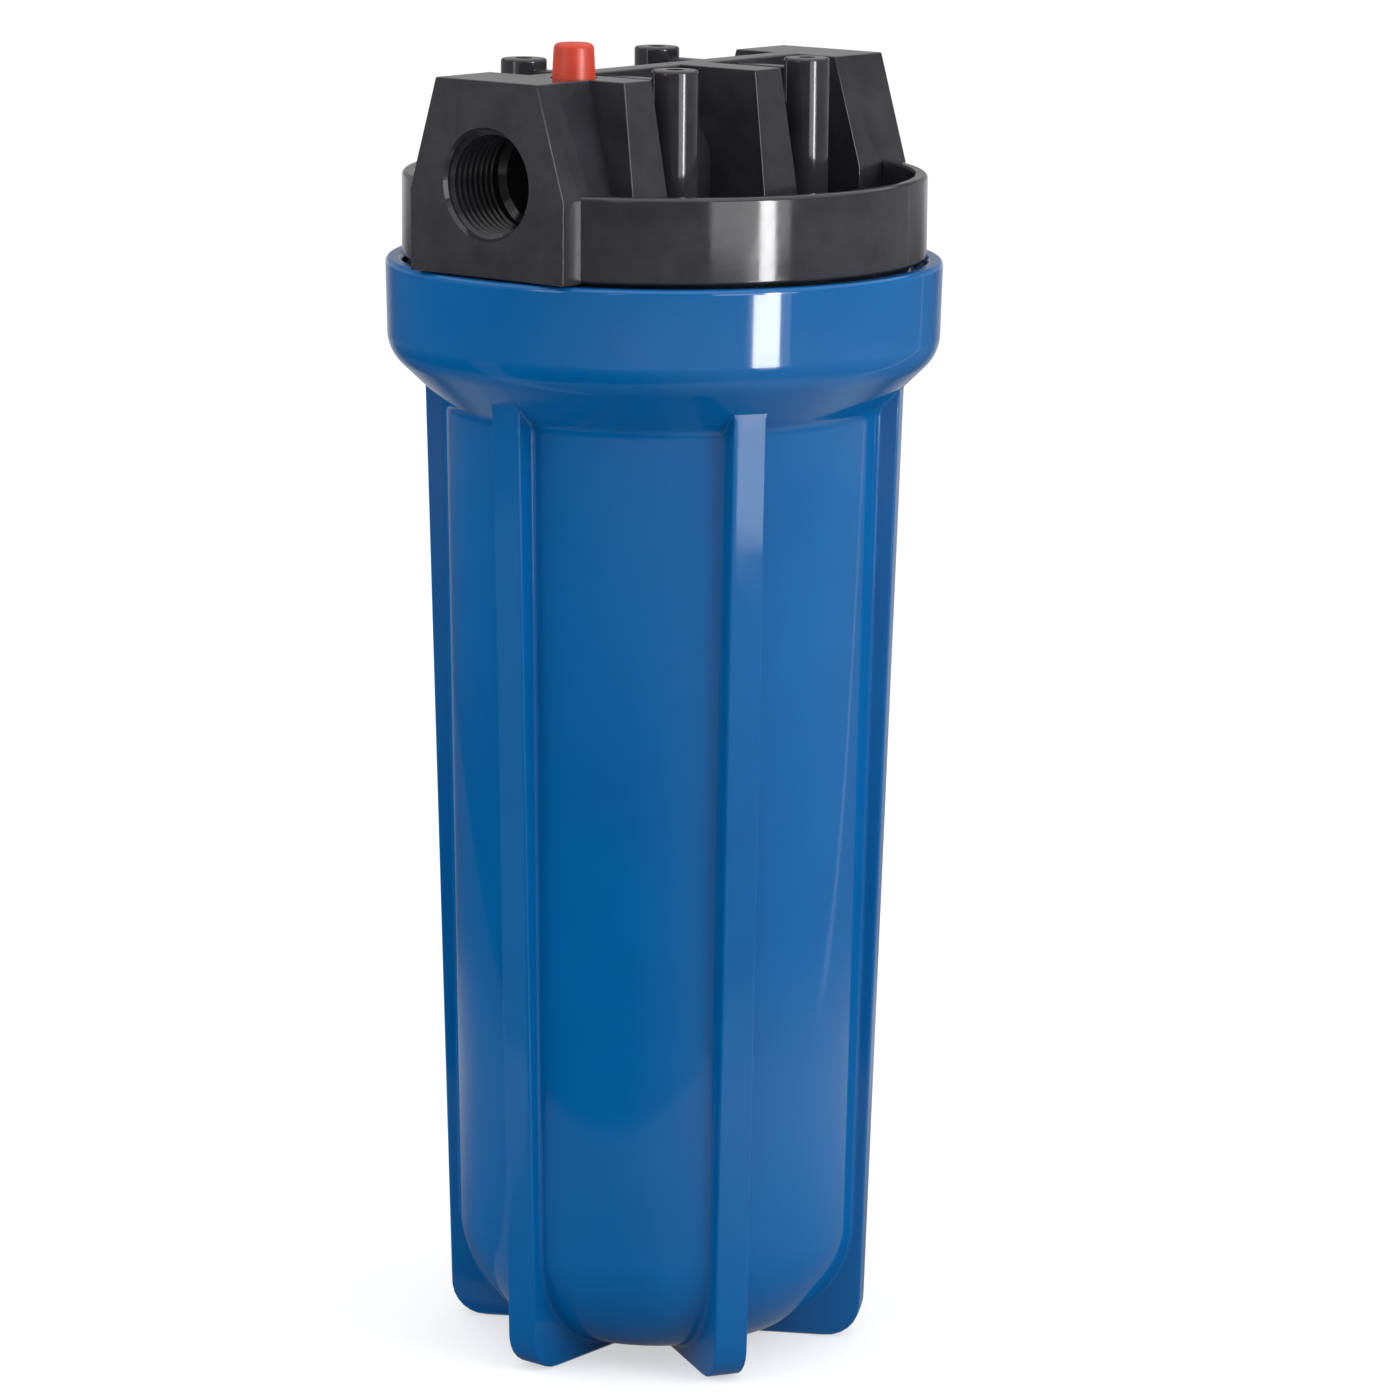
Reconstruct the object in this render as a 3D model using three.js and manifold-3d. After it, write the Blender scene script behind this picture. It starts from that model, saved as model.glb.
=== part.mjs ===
// Cartridge filter housing for a 10 inch cartridge: a ribbed sump that stands on six feet, a screwed cap
// with two pipe ports and a pressure relief button, and the pleated cartridge that the two hold between them.
// Millimetres, +Z up. The origin is on the axis, where the feet stand. The ports lie along X, the inlet at -X.
import * as THREE from "three";
import { mergeVertices } from "three/addons/utils/BufferGeometryUtils.js";
import Module from "manifold-3d";

const wasm = await Module();
wasm.setup();

// Fits
const seatGap = 0.3; // left between two faces that touch
const runningGap = 0.35; // round a piece that slides
const cutOverrun = 2; // how far a cut runs past the wall that it opens

// Sump: body
const waterSpace = 15.2; // cartridge to the bore at the top of the body
const bodyDraft = 4.1; // the body narrows by this much down to its foot
const bodyWall = 4.2;
const baseLift = 1.8; // underside of the base over the floor
const baseWall = 4.5;
const baseRound = 27;
const mouthFlare = 2.8; // the bore widens by this much below the sealing ledge
const mouthFlareHeight = 15;

// Sump: collar
const rimOverCartridge = 2; // rim over the top of the cartridge
const rimRound = 1.2;
const ledgeWidth = 10.9; // sealing ledge, from the bore out to the root of the female thread
const ledgeDepth = 20.6; // rim to the sealing ledge
const collarWall = 4.1; // rim round the root of the female thread
const collarDraft = 1; // the collar narrows by this much down to its underside
const collarDepth = 21.5; // rim to where the drafted wall would meet the underside
const collarFootRound = 4;
const undersideRise = 14.5; // height over which the underside runs in to the body
const undersideRound = 5;
const mouthChamfer = 1;

// Sump: ribs that run down into the feet
const ribCount = 6;
const ribThickness = 8.1;
const ribTopProud = 5; // a rib's edge over the body at the top
const ribFootProud = 2.6; // and at the foot
const ribHeelRadius = 19;
const ribToeRound = 8;
const ribEdgeRound = 1;
const ribInset = 11; // how far a rib runs up into the underside of the collar

// Sump: seat of the cartridge on the floor
const seatRadius = 19.5; // crest of the sealing ring, at the cap's end too
const seatCrestWidth = 1.4;
const seatFlankWidth = 1.6;
const seatHeight = 3.4;
const spigotClearance = 1.2; // round a spigot in the bore of the cartridge
const spigotReach = 7; // past the sealing crest, into the bore
const spigotRound = 1.5;

// Main O-ring and the groove for it in the sealing ledge
const sealCord = 4;
const sealInset = 5.1; // root of the female thread to the middle of the cord
const sealProud = 1.1; // stands out of its groove by this much
const grooveClearance = 0.4;

// Cap: neck, ceiling and skirt
const threadAllowance = 3.5; // root of the female thread to the root of the male one
const neckWall = 4.6;
const neckChamfer = 0.8;
const skirtInset = 3.9; // rim of the sump to the outside of the skirt
const skirtGap = 3; // rim of the sump to the skirt
const skirtHeight = 17;
const skirtWall = 3.2;
const skirtRound = 1;
const ceilingThickness = 3.9;
const pocketFloor = 3.5; // floor of the open pockets over the underside of the skirt

// Cap: port blocks
const portRise = 21.3; // rim of the sump to the axis of the ports
const portRadius = 12.2;
const portDepth = 18; // how far the threaded bore reaches in
const portMouthStep = 1.2; // the mouth is wider than the bore by this much
const portMouthDepth = 1.4;
const passageStep = 1.6; // the passage is narrower than the bore by this much
const faceProud = 1.7; // a port's face past the skirt
const blockLength = 18.3;
const blockHalfWidth = 22.8;
const shoulderDrop = 2.3; // shoulder of a block below the axis of its port
const deckHalfWidth = 15;
const deckRise = 23.2; // axis of the ports to the deck
const deckRound = 2.2;
const faceRound = 1.1;

// Cap: trunk over the passages, the spine on it, and the two lobes on the near side
const passageWall = 2.8;
const spineHalfWidth = 3.2;
const lobeReach = 25.3;
const lobeFootReach = 31.2;
const lobeLength = 9.5;
const lobeLean = 2; // an end face of a lobe leans out by this much towards the foot
const inletLobeLead = 2.4; // the inlet's lobe starts this far past the button's axis
const outletLobeStart = 1.5;

// Cap: bosses for the screws of a wall bracket
const bossSpanX = 48;
const bossSpanY = 45.2;
const bossRadius = 5.35;
const bossProud = 1.5; // stands over the deck by this much
const bossRound = 0.5;
const bossHoleRadius = 2.1;
const bossHoleDepth = 15;
const webThickness = 4;
const webDrop = 0.9; // below the deck

// Cap: passages down into the sump
const inletDropReach = 32.5; // axis to the inlet's drop
const inletDropRadius = 7.2;
const inletEnd = 24.5; // the inlet's passage stops this far from the axis
const outletDropRadius = 9;
const seatDiscMargin = 4; // round the sealing crest
const seatDiscHeight = 2.2;

// Pressure relief valve
const buttonSetback = 20.2; // face of the inlet to the button's axis
const buttonY = -8.5;
const buttonRadius = 5;
const buttonProud = 7.8; // stands over the deck by this much
const buttonRound = 1;
const buttonWall = 1.2;
const buttonCrown = 2.2;
const buttonTravel = 3;
const buttonSunk = 1.8; // skirt of the button below the deck
const wellSpare = 0.6; // left under the button at the end of its travel
const stemRadius = 1.5;
const stemSocket = 1.2; // how deep the stem is set in the button
const stemClearance = 0.5;
const valveSeatDrop = 12.6; // deck to the seat of the valve
const valvePocketRadius = 4.6;
const valveFlangeGap = 0.7; // between the flange and its pocket
const valveFlangeThickness = 1.6;
const valveCord = 1.8;
const springWire = 0.7;
const springGap = 0.7; // between the spring and the wall of the button
const springTurns = 5;

// Cartridge
const cartridgeLength = 248;
const cartridgeRadius = 32;
const cartridgeBore = 14;
const gasketThickness = 3;
const gasketMargin = 5; // edge of the end cap to its gasket
const gasketInset = 1.6; // how deep a gasket is set in its end cap
const endCapThickness = 5;
const endCapLip = 4;
const endCapLipWall = 1.1;
const endCapRound = 0.8;
const coreWall = 1.8;
const coreRows = 7;
const coreColumns = 6;
const coreSlotHeightShare = 0.62; // of the pitch of its rows
const coreSlotWidthShare = 0.5; // of the pitch of its columns
const pleatCount = 38;
const pleatWall = 0.6;
const pleatFoldShare = 0.32; // of a pleat's pitch, the width of its outer fold
const pleatValleyShare = 0.46; // of a pleat's pitch, the width of its inner fold

// Facets
const turnSteps = 48;
const cartridgeTurnSteps = 32;
const smallTurnSteps = 16;
const tinyTurnSteps = 12;
const coreStepsPerColumn = 3;
const springTurnSteps = 8;
const springSides = 5;
const cornerSteps = 3;
const edgeSteps = 2;
const domeSteps = 5;
const ringSides = 8;
const mergeDistance = 1e-4;

// Heights that follow from the sizes above
const floorHeight = baseLift + baseWall;
const cartridgeFoot = floorHeight + seatHeight + seatGap;
const cartridgeTop = cartridgeFoot + cartridgeLength;
const rimHeight = cartridgeTop + rimOverCartridge;
const ledgeHeight = rimHeight - ledgeDepth;
const sealTop = ledgeHeight + sealProud;
const neckFoot = sealTop + seatGap;
const skirtFoot = rimHeight + skirtGap;
const skirtTop = skirtFoot + skirtHeight;
const pocketHeight = skirtFoot + pocketFloor;
const ceilingHeight = pocketHeight - ceilingThickness;
const portHeight = rimHeight + portRise;
const blockShoulder = portHeight - shoulderDrop;
const deckHeight = portHeight + deckRise;
const webHeight = deckHeight - webDrop;
const bossHeight = deckHeight + bossProud;
const buttonTop = deckHeight + buttonProud;
const wellFloor = deckHeight - buttonSunk - buttonTravel - wellSpare;
const valveSeat = deckHeight - valveSeatDrop;

// Radii and reaches that follow from them
const bodyTopRadius = cartridgeRadius + waterSpace + bodyWall;
const bodyFootRadius = bodyTopRadius - bodyDraft;
const ribTopRadius = bodyTopRadius + ribTopProud;
const ribFootRadius = bodyFootRadius + ribFootProud;
const threadBoreRadius = bodyTopRadius - bodyWall + mouthFlare + ledgeWidth;
const sealRadius = threadBoreRadius - sealInset;
const rimRadius = threadBoreRadius + collarWall;
const collarFootRadius = rimRadius - collarDraft;
const neckRadius = threadBoreRadius - threadAllowance;
const skirtRadius = rimRadius - skirtInset;
const faceReach = skirtRadius + faceProud;
const blockReach = faceReach - blockLength;
const portMouthRadius = portRadius + portMouthStep;
const passageRadius = portRadius - passageStep;
const buttonX = buttonSetback - faceReach;
const inletLobeStart = buttonX - inletLobeLead;
const seatDiscRadius = seatRadius + seatDiscMargin;
const spigotRadius = cartridgeBore - spigotClearance;
const gasketOuterRadius = cartridgeRadius - gasketMargin;
const stemHoleRadius = stemRadius + stemClearance;
const valveFlangeRadius = valvePocketRadius - valveFlangeGap;
const springRadius = buttonRadius - buttonWall - springGap - springWire / 2;

// Helpers

// Points of an outline through corners [x, y, cut, steps]. A corner with a cut is rounded by an arc that
// leaves the sides at that distance from the corner.
function outline(corners) {
  const points = [];
  corners.forEach(([x, y, cut = 0, steps = cornerSteps], i) => {
    const corner = new THREE.Vector2(x, y);
    if (cut === 0) {
      points.push(corner);
      return;
    }
    const [beforeX, beforeY] = corners[(i + corners.length - 1) % corners.length];
    const [afterX, afterY] = corners[(i + 1) % corners.length];
    const back = new THREE.Vector2(beforeX, beforeY).sub(corner).normalize();
    const ahead = new THREE.Vector2(afterX, afterY).sub(corner).normalize();
    const half = Math.acos(back.dot(ahead)) / 2;
    const middle = back.clone().add(ahead).normalize();
    const centre = corner.clone().addScaledVector(middle, cut / Math.cos(half));
    const start = corner.clone().addScaledVector(back, cut);
    const sweep = Math.sign(ahead.cross(back)) * (Math.PI - 2 * half);
    for (let step = 0; step <= steps; step += 1) {
      points.push(start.clone().rotateAround(centre, (sweep * step) / steps));
    }
  });
  return points;
}

// A closed three.js geometry as a solid that can be cut and joined.
function solid(geometry) {
  const bare = geometry.clone();
  bare.deleteAttribute("normal");
  bare.deleteAttribute("uv");
  const merged = mergeVertices(bare, mergeDistance);
  const triangles = [];
  for (let i = 0; i < merged.index.count; i += 3) {
    const [a, b, c] = [0, 1, 2].map((corner) => merged.index.getX(i + corner));
    if (a !== b && b !== c && c !== a) {
      triangles.push(a, b, c);
    }
  }
  const vertices = new Float32Array(merged.getAttribute("position").array);
  return new wasm.Manifold(
    new wasm.Mesh({ numProp: 3, vertProperties: vertices, triVerts: new Uint32Array(triangles) }),
  );
}

// A profile of [radius, height, cut] corners, anticlockwise, turned about the vertical axis at x, y.
function turned(corners, steps = turnSteps, x = 0, y = 0) {
  const lathe = new THREE.LatheGeometry(closedProfile(outline(corners)), steps);
  return solid(lathe.rotateX(Math.PI / 2).translate(x, y, 0));
}

// A profile that neither starts nor ends on the axis returns to its first point.
function closedProfile(points) {
  const first = points[0];
  const last = points[points.length - 1];
  return first.x === 0 && last.x === 0 ? points : [...points, first.clone()];
}

// An upright cylinder from a lower to an upper height.
function post(radius, low, high, x = 0, y = 0, steps = smallTurnSteps) {
  const cylinder = new THREE.CylinderGeometry(radius, radius, high - low, steps);
  return solid(cylinder.rotateX(Math.PI / 2).translate(x, y, (low + high) / 2));
}

// A cylinder along X at the height of the ports.
function portCylinder(radius, from, to, steps = smallTurnSteps) {
  const cylinder = new THREE.CylinderGeometry(radius, radius, Math.abs(to - from), steps);
  return solid(cylinder.rotateZ(Math.PI / 2).translate((from + to) / 2, 0, portHeight));
}

// A section of [y, z, cut] corners that runs along X, its edges rounded at both ends. Both ends lean out
// by the same value towards the foot.
function runAlongX(corners, from, to, { round = 0, lean = 0 } = {}) {
  const geometry = new THREE.ExtrudeGeometry(new THREE.Shape(outline(corners)), {
    depth: to - from - 2 * round,
    bevelEnabled: round > 0,
    bevelThickness: round,
    bevelSize: round,
    bevelOffset: -round,
    bevelSegments: edgeSteps,
    curveSegments: 1,
  });
  const alongX = new THREE.Matrix4().makeBasis(
    new THREE.Vector3(0, 1, 0),
    new THREE.Vector3(0, 0, 1),
    new THREE.Vector3(1, 0, 0),
  );
  geometry.applyMatrix4(alongX).translate(from + round, 0, 0);
  const heights = corners.map((corner) => corner[1]);
  const top = Math.max(...heights);
  const span = top - Math.min(...heights);
  const position = geometry.getAttribute("position");
  for (let i = 0; i < position.count; i += 1) {
    const along = (position.getX(i) - from) / (to - from);
    const below = (top - position.getZ(i)) / span;
    position.setX(i, position.getX(i) + below * lean * (2 * along - 1));
  }
  return solid(geometry);
}

// A solid as a named mesh with its material.
function piece(name, made, material) {
  const mesh = made.getMesh();
  const geometry = new THREE.BufferGeometry();
  geometry.setAttribute("position", new THREE.BufferAttribute(mesh.vertProperties, 3));
  geometry.setIndex(new THREE.BufferAttribute(mesh.triVerts, 1));
  geometry.computeVertexNormals();
  const object = new THREE.Mesh(geometry, material);
  object.name = name;
  return object;
}

function plastic(color, roughness) {
  return new THREE.MeshStandardMaterial({ color, roughness, metalness: 0 });
}

// Sump

function sumpOutside() {
  const undersideTop = rimHeight - collarDepth;
  return turned([
    [0, baseLift],
    [bodyFootRadius, baseLift, baseRound, domeSteps],
    [bodyTopRadius, undersideTop - undersideRise, undersideRound],
    [collarFootRadius, undersideTop, collarFootRound],
    [rimRadius, rimHeight, rimRound, edgeSteps],
    [0, rimHeight],
  ]);
}

function sumpCavity() {
  const top = rimHeight + cutOverrun;
  const topRadius = bodyTopRadius - bodyWall;
  const footRadius = bodyFootRadius - bodyWall;
  const seatInside = seatRadius - seatCrestWidth / 2;
  const seatOutside = seatRadius + seatCrestWidth / 2;
  const seatFoot = seatOutside + seatFlankWidth;
  const floorRound = Math.min(baseRound - bodyWall, footRadius - seatFoot - seatGap);
  const spigotTop = cartridgeFoot + spigotReach;
  return turned([
    [0, spigotTop],
    [spigotRadius, spigotTop, spigotRound, edgeSteps],
    [spigotRadius, floorHeight],
    [seatInside - seatFlankWidth, floorHeight],
    [seatInside, floorHeight + seatHeight],
    [seatOutside, floorHeight + seatHeight],
    [seatFoot, floorHeight],
    [footRadius, floorHeight, floorRound, domeSteps],
    [topRadius, ledgeHeight - mouthFlareHeight],
    [topRadius + mouthFlare, ledgeHeight],
    [threadBoreRadius, ledgeHeight],
    [threadBoreRadius, rimHeight - mouthChamfer],
    [threadBoreRadius + mouthChamfer + cutOverrun, top],
    [0, top],
  ]);
}

function sealGroove() {
  const halfWidth = sealCord / 2 + grooveClearance;
  const floor = sealTop - sealCord - seatGap;
  return turned([
    [sealRadius - halfWidth, floor],
    [sealRadius + halfWidth, floor],
    [sealRadius + halfWidth, ledgeHeight + cutOverrun],
    [sealRadius - halfWidth, ledgeHeight + cutOverrun],
  ]);
}

function sumpRib(angle) {
  const top = rimHeight - collarDepth - undersideRise + ribInset;
  const side = new THREE.Shape(
    outline([
      [ribHeelRadius, 0],
      [ribFootRadius, 0, ribToeRound],
      [ribTopRadius, top],
      [ribHeelRadius, top],
    ]),
  );
  const geometry = new THREE.ExtrudeGeometry(side, {
    depth: ribThickness - 2 * ribEdgeRound,
    bevelThickness: ribEdgeRound,
    bevelSize: ribEdgeRound,
    bevelOffset: -ribEdgeRound,
    bevelSegments: 1,
    curveSegments: 1,
  });
  geometry.translate(0, 0, ribEdgeRound - ribThickness / 2);
  return solid(geometry.rotateX(Math.PI / 2).rotateZ(angle));
}

function makeSump() {
  let sump = sumpOutside();
  for (let i = 0; i < ribCount; i += 1) {
    sump = sump.add(sumpRib((2 * Math.PI * i) / ribCount));
  }
  return sump.subtract(sumpCavity()).subtract(sealGroove());
}

// A ring of round section that lies flat.
function ring(radius, cord, middle, x = 0, y = 0, steps = turnSteps) {
  const points = [];
  for (let i = 0; i < ringSides; i += 1) {
    const angle = (2 * Math.PI * (i + 1 / 2)) / ringSides;
    const across = cord / 2 / Math.cos(Math.PI / ringSides);
    points.push([radius + across * Math.cos(angle), middle + across * Math.sin(angle)]);
  }
  return turned(points, steps, x, y);
}

// Cap

function capShell() {
  const ceilingRadius = neckRadius - neckWall;
  return turned([
    [0, ceilingHeight],
    [ceilingRadius, ceilingHeight],
    [ceilingRadius, neckFoot],
    [neckRadius, neckFoot, neckChamfer, 1],
    [neckRadius, skirtFoot],
    [skirtRadius, skirtFoot, skirtRound, 1],
    [skirtRadius, skirtTop, skirtRound, edgeSteps],
    [skirtRadius - skirtWall, skirtTop, skirtRound, 1],
    [skirtRadius - skirtWall, pocketHeight],
    [0, pocketHeight],
  ]);
}

// A port block, narrower at its deck, with the port's face at the outer end.
function portBlock(side) {
  const section = [
    [-blockHalfWidth, skirtFoot],
    [blockHalfWidth, skirtFoot],
    [blockHalfWidth, blockShoulder, deckRound],
    [deckHalfWidth, deckHeight, deckRound],
    [-deckHalfWidth, deckHeight, deckRound],
    [-blockHalfWidth, blockShoulder, deckRound],
  ];
  const [from, to] = side < 0 ? [-faceReach, -blockReach] : [blockReach, faceReach];
  return runAlongX(section, from, to, { round: faceRound });
}

// The trunk that joins the two port blocks, round over the passages, and the spine on it up to the deck.
function trunk() {
  const reach = blockReach + faceRound;
  const halfWidth = passageRadius + passageWall;
  const section = [
    [-halfWidth, ceilingHeight],
    [halfWidth, ceilingHeight],
    [halfWidth, portHeight + halfWidth, halfWidth, domeSteps],
    [-halfWidth, portHeight + halfWidth, halfWidth, domeSteps],
  ];
  const spine = new THREE.BoxGeometry(2 * reach, 2 * spineHalfWidth, deckHeight - portHeight);
  return runAlongX(section, -reach, reach).add(
    solid(spine.translate(0, 0, (deckHeight + portHeight) / 2)),
  );
}

function lobe(start) {
  const section = [
    [0, ceilingHeight],
    [0, deckHeight],
    [-lobeReach, deckHeight, deckRound],
    [-lobeFootReach, pocketHeight],
    [-lobeFootReach, ceilingHeight],
  ];
  return runAlongX(section, start, start + lobeLength, { lean: lobeLean });
}

function bossPlaces() {
  const x = bossSpanX / 2;
  const y = bossSpanY / 2;
  return [
    [-x, -y],
    [x, -y],
    [-x, y],
    [x, y],
  ];
}

function boss([x, y]) {
  const profile = [
    [0, ceilingHeight],
    [bossRadius, ceilingHeight],
    [bossRadius, bossHeight, bossRound],
    [0, bossHeight],
  ];
  return turned(profile, smallTurnSteps, x, y);
}

// A web across the cap that ties two bosses to the trunk.
function web(x) {
  const box = new THREE.BoxGeometry(webThickness, bossSpanY, webHeight - ceilingHeight);
  return solid(box.translate(x, 0, (webHeight + ceilingHeight) / 2));
}

// The sealing crest and the hollow spigot that stand down from the ceiling onto the cartridge.
function cartridgeSeat() {
  const crest = cartridgeTop + seatGap;
  const disc = ceilingHeight - seatDiscHeight;
  const inside = seatRadius - seatCrestWidth / 2;
  const outside = seatRadius + seatCrestWidth / 2;
  return turned([
    [0, cartridgeTop - spigotReach],
    [spigotRadius, cartridgeTop - spigotReach, spigotRound, edgeSteps],
    [spigotRadius, disc],
    [inside - seatFlankWidth, disc],
    [inside, crest],
    [outside, crest],
    [outside + seatFlankWidth, disc],
    [seatDiscRadius, disc],
    [seatDiscRadius, ceilingHeight + ceilingThickness / 2],
    [0, ceilingHeight + ceilingThickness / 2],
  ]);
}

function portCuts() {
  const face = faceReach + cutOverrun;
  const throat = faceReach - portDepth;
  const mouth = faceReach - portMouthDepth;
  const inlet = portCylinder(portRadius, -face, -throat)
    .add(portCylinder(portMouthRadius, -face, -mouth))
    .add(portCylinder(passageRadius, -face, -inletEnd))
    .add(post(inletDropRadius, ceilingHeight - cutOverrun, portHeight, -inletDropReach));
  const outlet = portCylinder(portRadius, throat, face)
    .add(portCylinder(portMouthRadius, mouth, face))
    .add(portCylinder(passageRadius, 0, face))
    .add(post(outletDropRadius, cartridgeTop - spigotReach - cutOverrun, portHeight + passageRadius / 2));
  return inlet.add(outlet);
}

function valveCuts() {
  const well = buttonRadius + runningGap;
  return post(well, wellFloor, deckHeight + cutOverrun, buttonX, buttonY)
    .add(post(stemHoleRadius, valveSeat - cutOverrun, wellFloor + cutOverrun, buttonX, buttonY, tinyTurnSteps))
    .add(post(valvePocketRadius, portHeight, valveSeat, buttonX, buttonY));
}

function makeCap() {
  let cap = capShell().add(portBlock(-1)).add(portBlock(1)).add(trunk());
  cap = cap.add(lobe(inletLobeStart)).add(lobe(outletLobeStart));
  cap = cap.add(web(-bossSpanX / 2)).add(web(bossSpanX / 2)).add(cartridgeSeat());
  for (const place of bossPlaces()) {
    cap = cap.add(boss(place));
  }
  for (const [x, y] of bossPlaces()) {
    cap = cap.subtract(
      post(bossHoleRadius, bossHeight - bossHoleDepth, bossHeight + cutOverrun, x, y, tinyTurnSteps),
    );
  }
  return cap.subtract(portCuts()).subtract(valveCuts());
}

// Pressure relief valve

const buttonFoot = deckHeight - buttonSunk;
const crownHeight = buttonTop - buttonCrown;

function makeButton() {
  const hollow = buttonRadius - buttonWall;
  const socket = stemRadius + seatGap;
  return turned(
    [
      [0, crownHeight + stemSocket],
      [socket, crownHeight + stemSocket],
      [socket, crownHeight],
      [hollow, crownHeight],
      [hollow, buttonFoot],
      [buttonRadius, buttonFoot],
      [buttonRadius, buttonTop, buttonRound],
      [0, buttonTop],
    ],
    smallTurnSteps,
    buttonX,
    buttonY,
  );
}

function makeStem() {
  const flangeTop = valveSeat - valveCord - 2 * seatGap;
  const flangeFoot = flangeTop - valveFlangeThickness;
  return turned(
    [
      [0, flangeFoot],
      [valveFlangeRadius, flangeFoot],
      [valveFlangeRadius, flangeTop],
      [stemRadius, flangeTop],
      [stemRadius, crownHeight + stemSocket - seatGap],
      [0, crownHeight + stemSocket - seatGap],
    ],
    tinyTurnSteps,
    buttonX,
    buttonY,
  );
}

function makeValveRing() {
  const middle = valveSeat - seatGap - valveCord / 2;
  const radius = stemRadius + seatGap + valveCord / 2;
  return ring(radius, valveCord, middle, buttonX, buttonY, tinyTurnSteps);
}

// A compression spring: one tube along a helix, from the floor of the well to the crown of the button.
function makeSpring() {
  const low = wellFloor + seatGap + springWire / 2;
  const high = crownHeight - seatGap - springWire / 2;
  const sides = springSides;
  const steps = springTurns * springTurnSteps;
  const centres = [];
  for (let i = 0; i <= steps; i += 1) {
    const angle = (2 * Math.PI * i) / springTurnSteps;
    const x = springRadius * Math.cos(angle);
    const y = springRadius * Math.sin(angle);
    centres.push(new THREE.Vector3(x, y, THREE.MathUtils.lerp(low, high, i / steps)));
  }
  const vertices = [];
  centres.forEach((centre) => {
    const outward = new THREE.Vector3(centre.x, centre.y, 0).normalize();
    for (let side = 0; side < sides; side += 1) {
      const turn = (2 * Math.PI * side) / sides;
      const point = centre.clone().addScaledVector(outward, (springWire / 2) * Math.cos(turn));
      point.z += (springWire / 2) * Math.sin(turn);
      vertices.push(point.x + buttonX, point.y + buttonY, point.z);
    }
  });
  const triangles = [];
  for (let i = 0; i < steps; i += 1) {
    for (let side = 0; side < sides; side += 1) {
      const next = (side + 1) % sides;
      const [a, b, c, d] = [side, next, next + sides, side + sides].map((k) => k + i * sides);
      triangles.push(a, c, b, a, d, c);
    }
  }
  for (let side = 1; side < sides - 1; side += 1) {
    const last = steps * sides;
    triangles.push(0, side, side + 1);
    triangles.push(last, last + side + 1, last + side);
  }
  console.log("relief_spring: least gap to itself " + helixGap(centres).toFixed(2) + " mm");
  return new wasm.Manifold(
    new wasm.Mesh({
      numProp: 3,
      vertProperties: new Float32Array(vertices),
      triVerts: new Uint32Array(triangles),
    }),
  );
}

// Least distance between the surfaces of neighbouring turns, measured on the tube's centre points.
function helixGap(centres) {
  let least = Infinity;
  for (let i = 0; i < centres.length; i += 1) {
    for (let j = i + springTurnSteps / 2; j < centres.length; j += 1) {
      least = Math.min(least, centres[i].distanceTo(centres[j]));
    }
  }
  return least - springWire;
}

// Cartridge

function makeGasket() {
  const low = cartridgeFoot;
  const profile = [
    [cartridgeBore, low],
    [gasketOuterRadius, low],
    [gasketOuterRadius, low + gasketThickness],
    [cartridgeBore, low + gasketThickness],
  ];
  return turned(profile, cartridgeTurnSteps);
}

// An end cap as it lies at the foot of the cartridge: a recess for the gasket below, and a lip round the pleats.
const endCapFoot = cartridgeFoot + gasketThickness - gasketInset;
const endCapHeight = endCapFoot + gasketInset + endCapThickness;

function makeEndCap() {
  const recess = gasketOuterRadius + seatGap;
  const recessTop = endCapFoot + gasketInset + seatGap;
  const profile = [
    [cartridgeBore, recessTop],
    [recess, recessTop],
    [recess, endCapFoot],
    [cartridgeRadius, endCapFoot, endCapRound, 1],
    [cartridgeRadius, endCapHeight + endCapLip],
    [cartridgeRadius - endCapLipWall, endCapHeight + endCapLip],
    [cartridgeRadius - endCapLipWall, endCapHeight],
    [cartridgeBore, endCapHeight],
  ];
  return turned(profile, cartridgeTurnSteps);
}

// The same piece at the other end of the cartridge, turned over.
function turnedOver(made) {
  return made.rotate([180, 0, 0]).translate([0, 0, cartridgeFoot + cartridgeTop]);
}

const mediaFoot = endCapHeight + seatGap;
const mediaTop = cartridgeFoot + cartridgeTop - mediaFoot;

function makeCore() {
  const outer = cartridgeBore + coreWall;
  let core = turned(
    [
      [cartridgeBore, mediaFoot],
      [outer, mediaFoot],
      [outer, mediaTop],
      [cartridgeBore, mediaTop],
    ],
    coreColumns * coreStepsPerColumn,
  );
  const rowPitch = (mediaTop - mediaFoot) / coreRows;
  const columnPitch = (2 * Math.PI * cartridgeBore) / coreColumns;
  for (let row = 0; row < coreRows; row += 1) {
    const z = mediaFoot + rowPitch * (row + 1 / 2);
    for (let column = 0; column < coreColumns / 2; column += 1) {
      const slot = new THREE.BoxGeometry(
        2 * (outer + cutOverrun),
        columnPitch * coreSlotWidthShare,
        rowPitch * coreSlotHeightShare,
      );
      const turn = (2 * Math.PI * (column + (row % 2) / 2)) / coreColumns;
      core = core.subtract(solid(slot.rotateZ(turn).translate(0, 0, z)));
    }
  }
  return core;
}

// One side of the pleated sheet: a wave of folds between two radii.
function pleatWave(outer, inner, foldWidth, valleyWidth) {
  const pitch = (2 * Math.PI) / pleatCount;
  const points = [];
  for (let i = 0; i < pleatCount; i += 1) {
    const middle = pitch * i;
    const halfFold = foldWidth / (2 * outer);
    const halfValley = valleyWidth / (2 * inner);
    points.push(polar(outer, middle - halfFold), polar(outer, middle + halfFold));
    points.push(polar(inner, middle + pitch / 2 - halfValley), polar(inner, middle + pitch / 2 + halfValley));
  }
  return points;
}

function polar(radius, angle) {
  return new THREE.Vector2(radius * Math.cos(angle), radius * Math.sin(angle));
}

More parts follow.
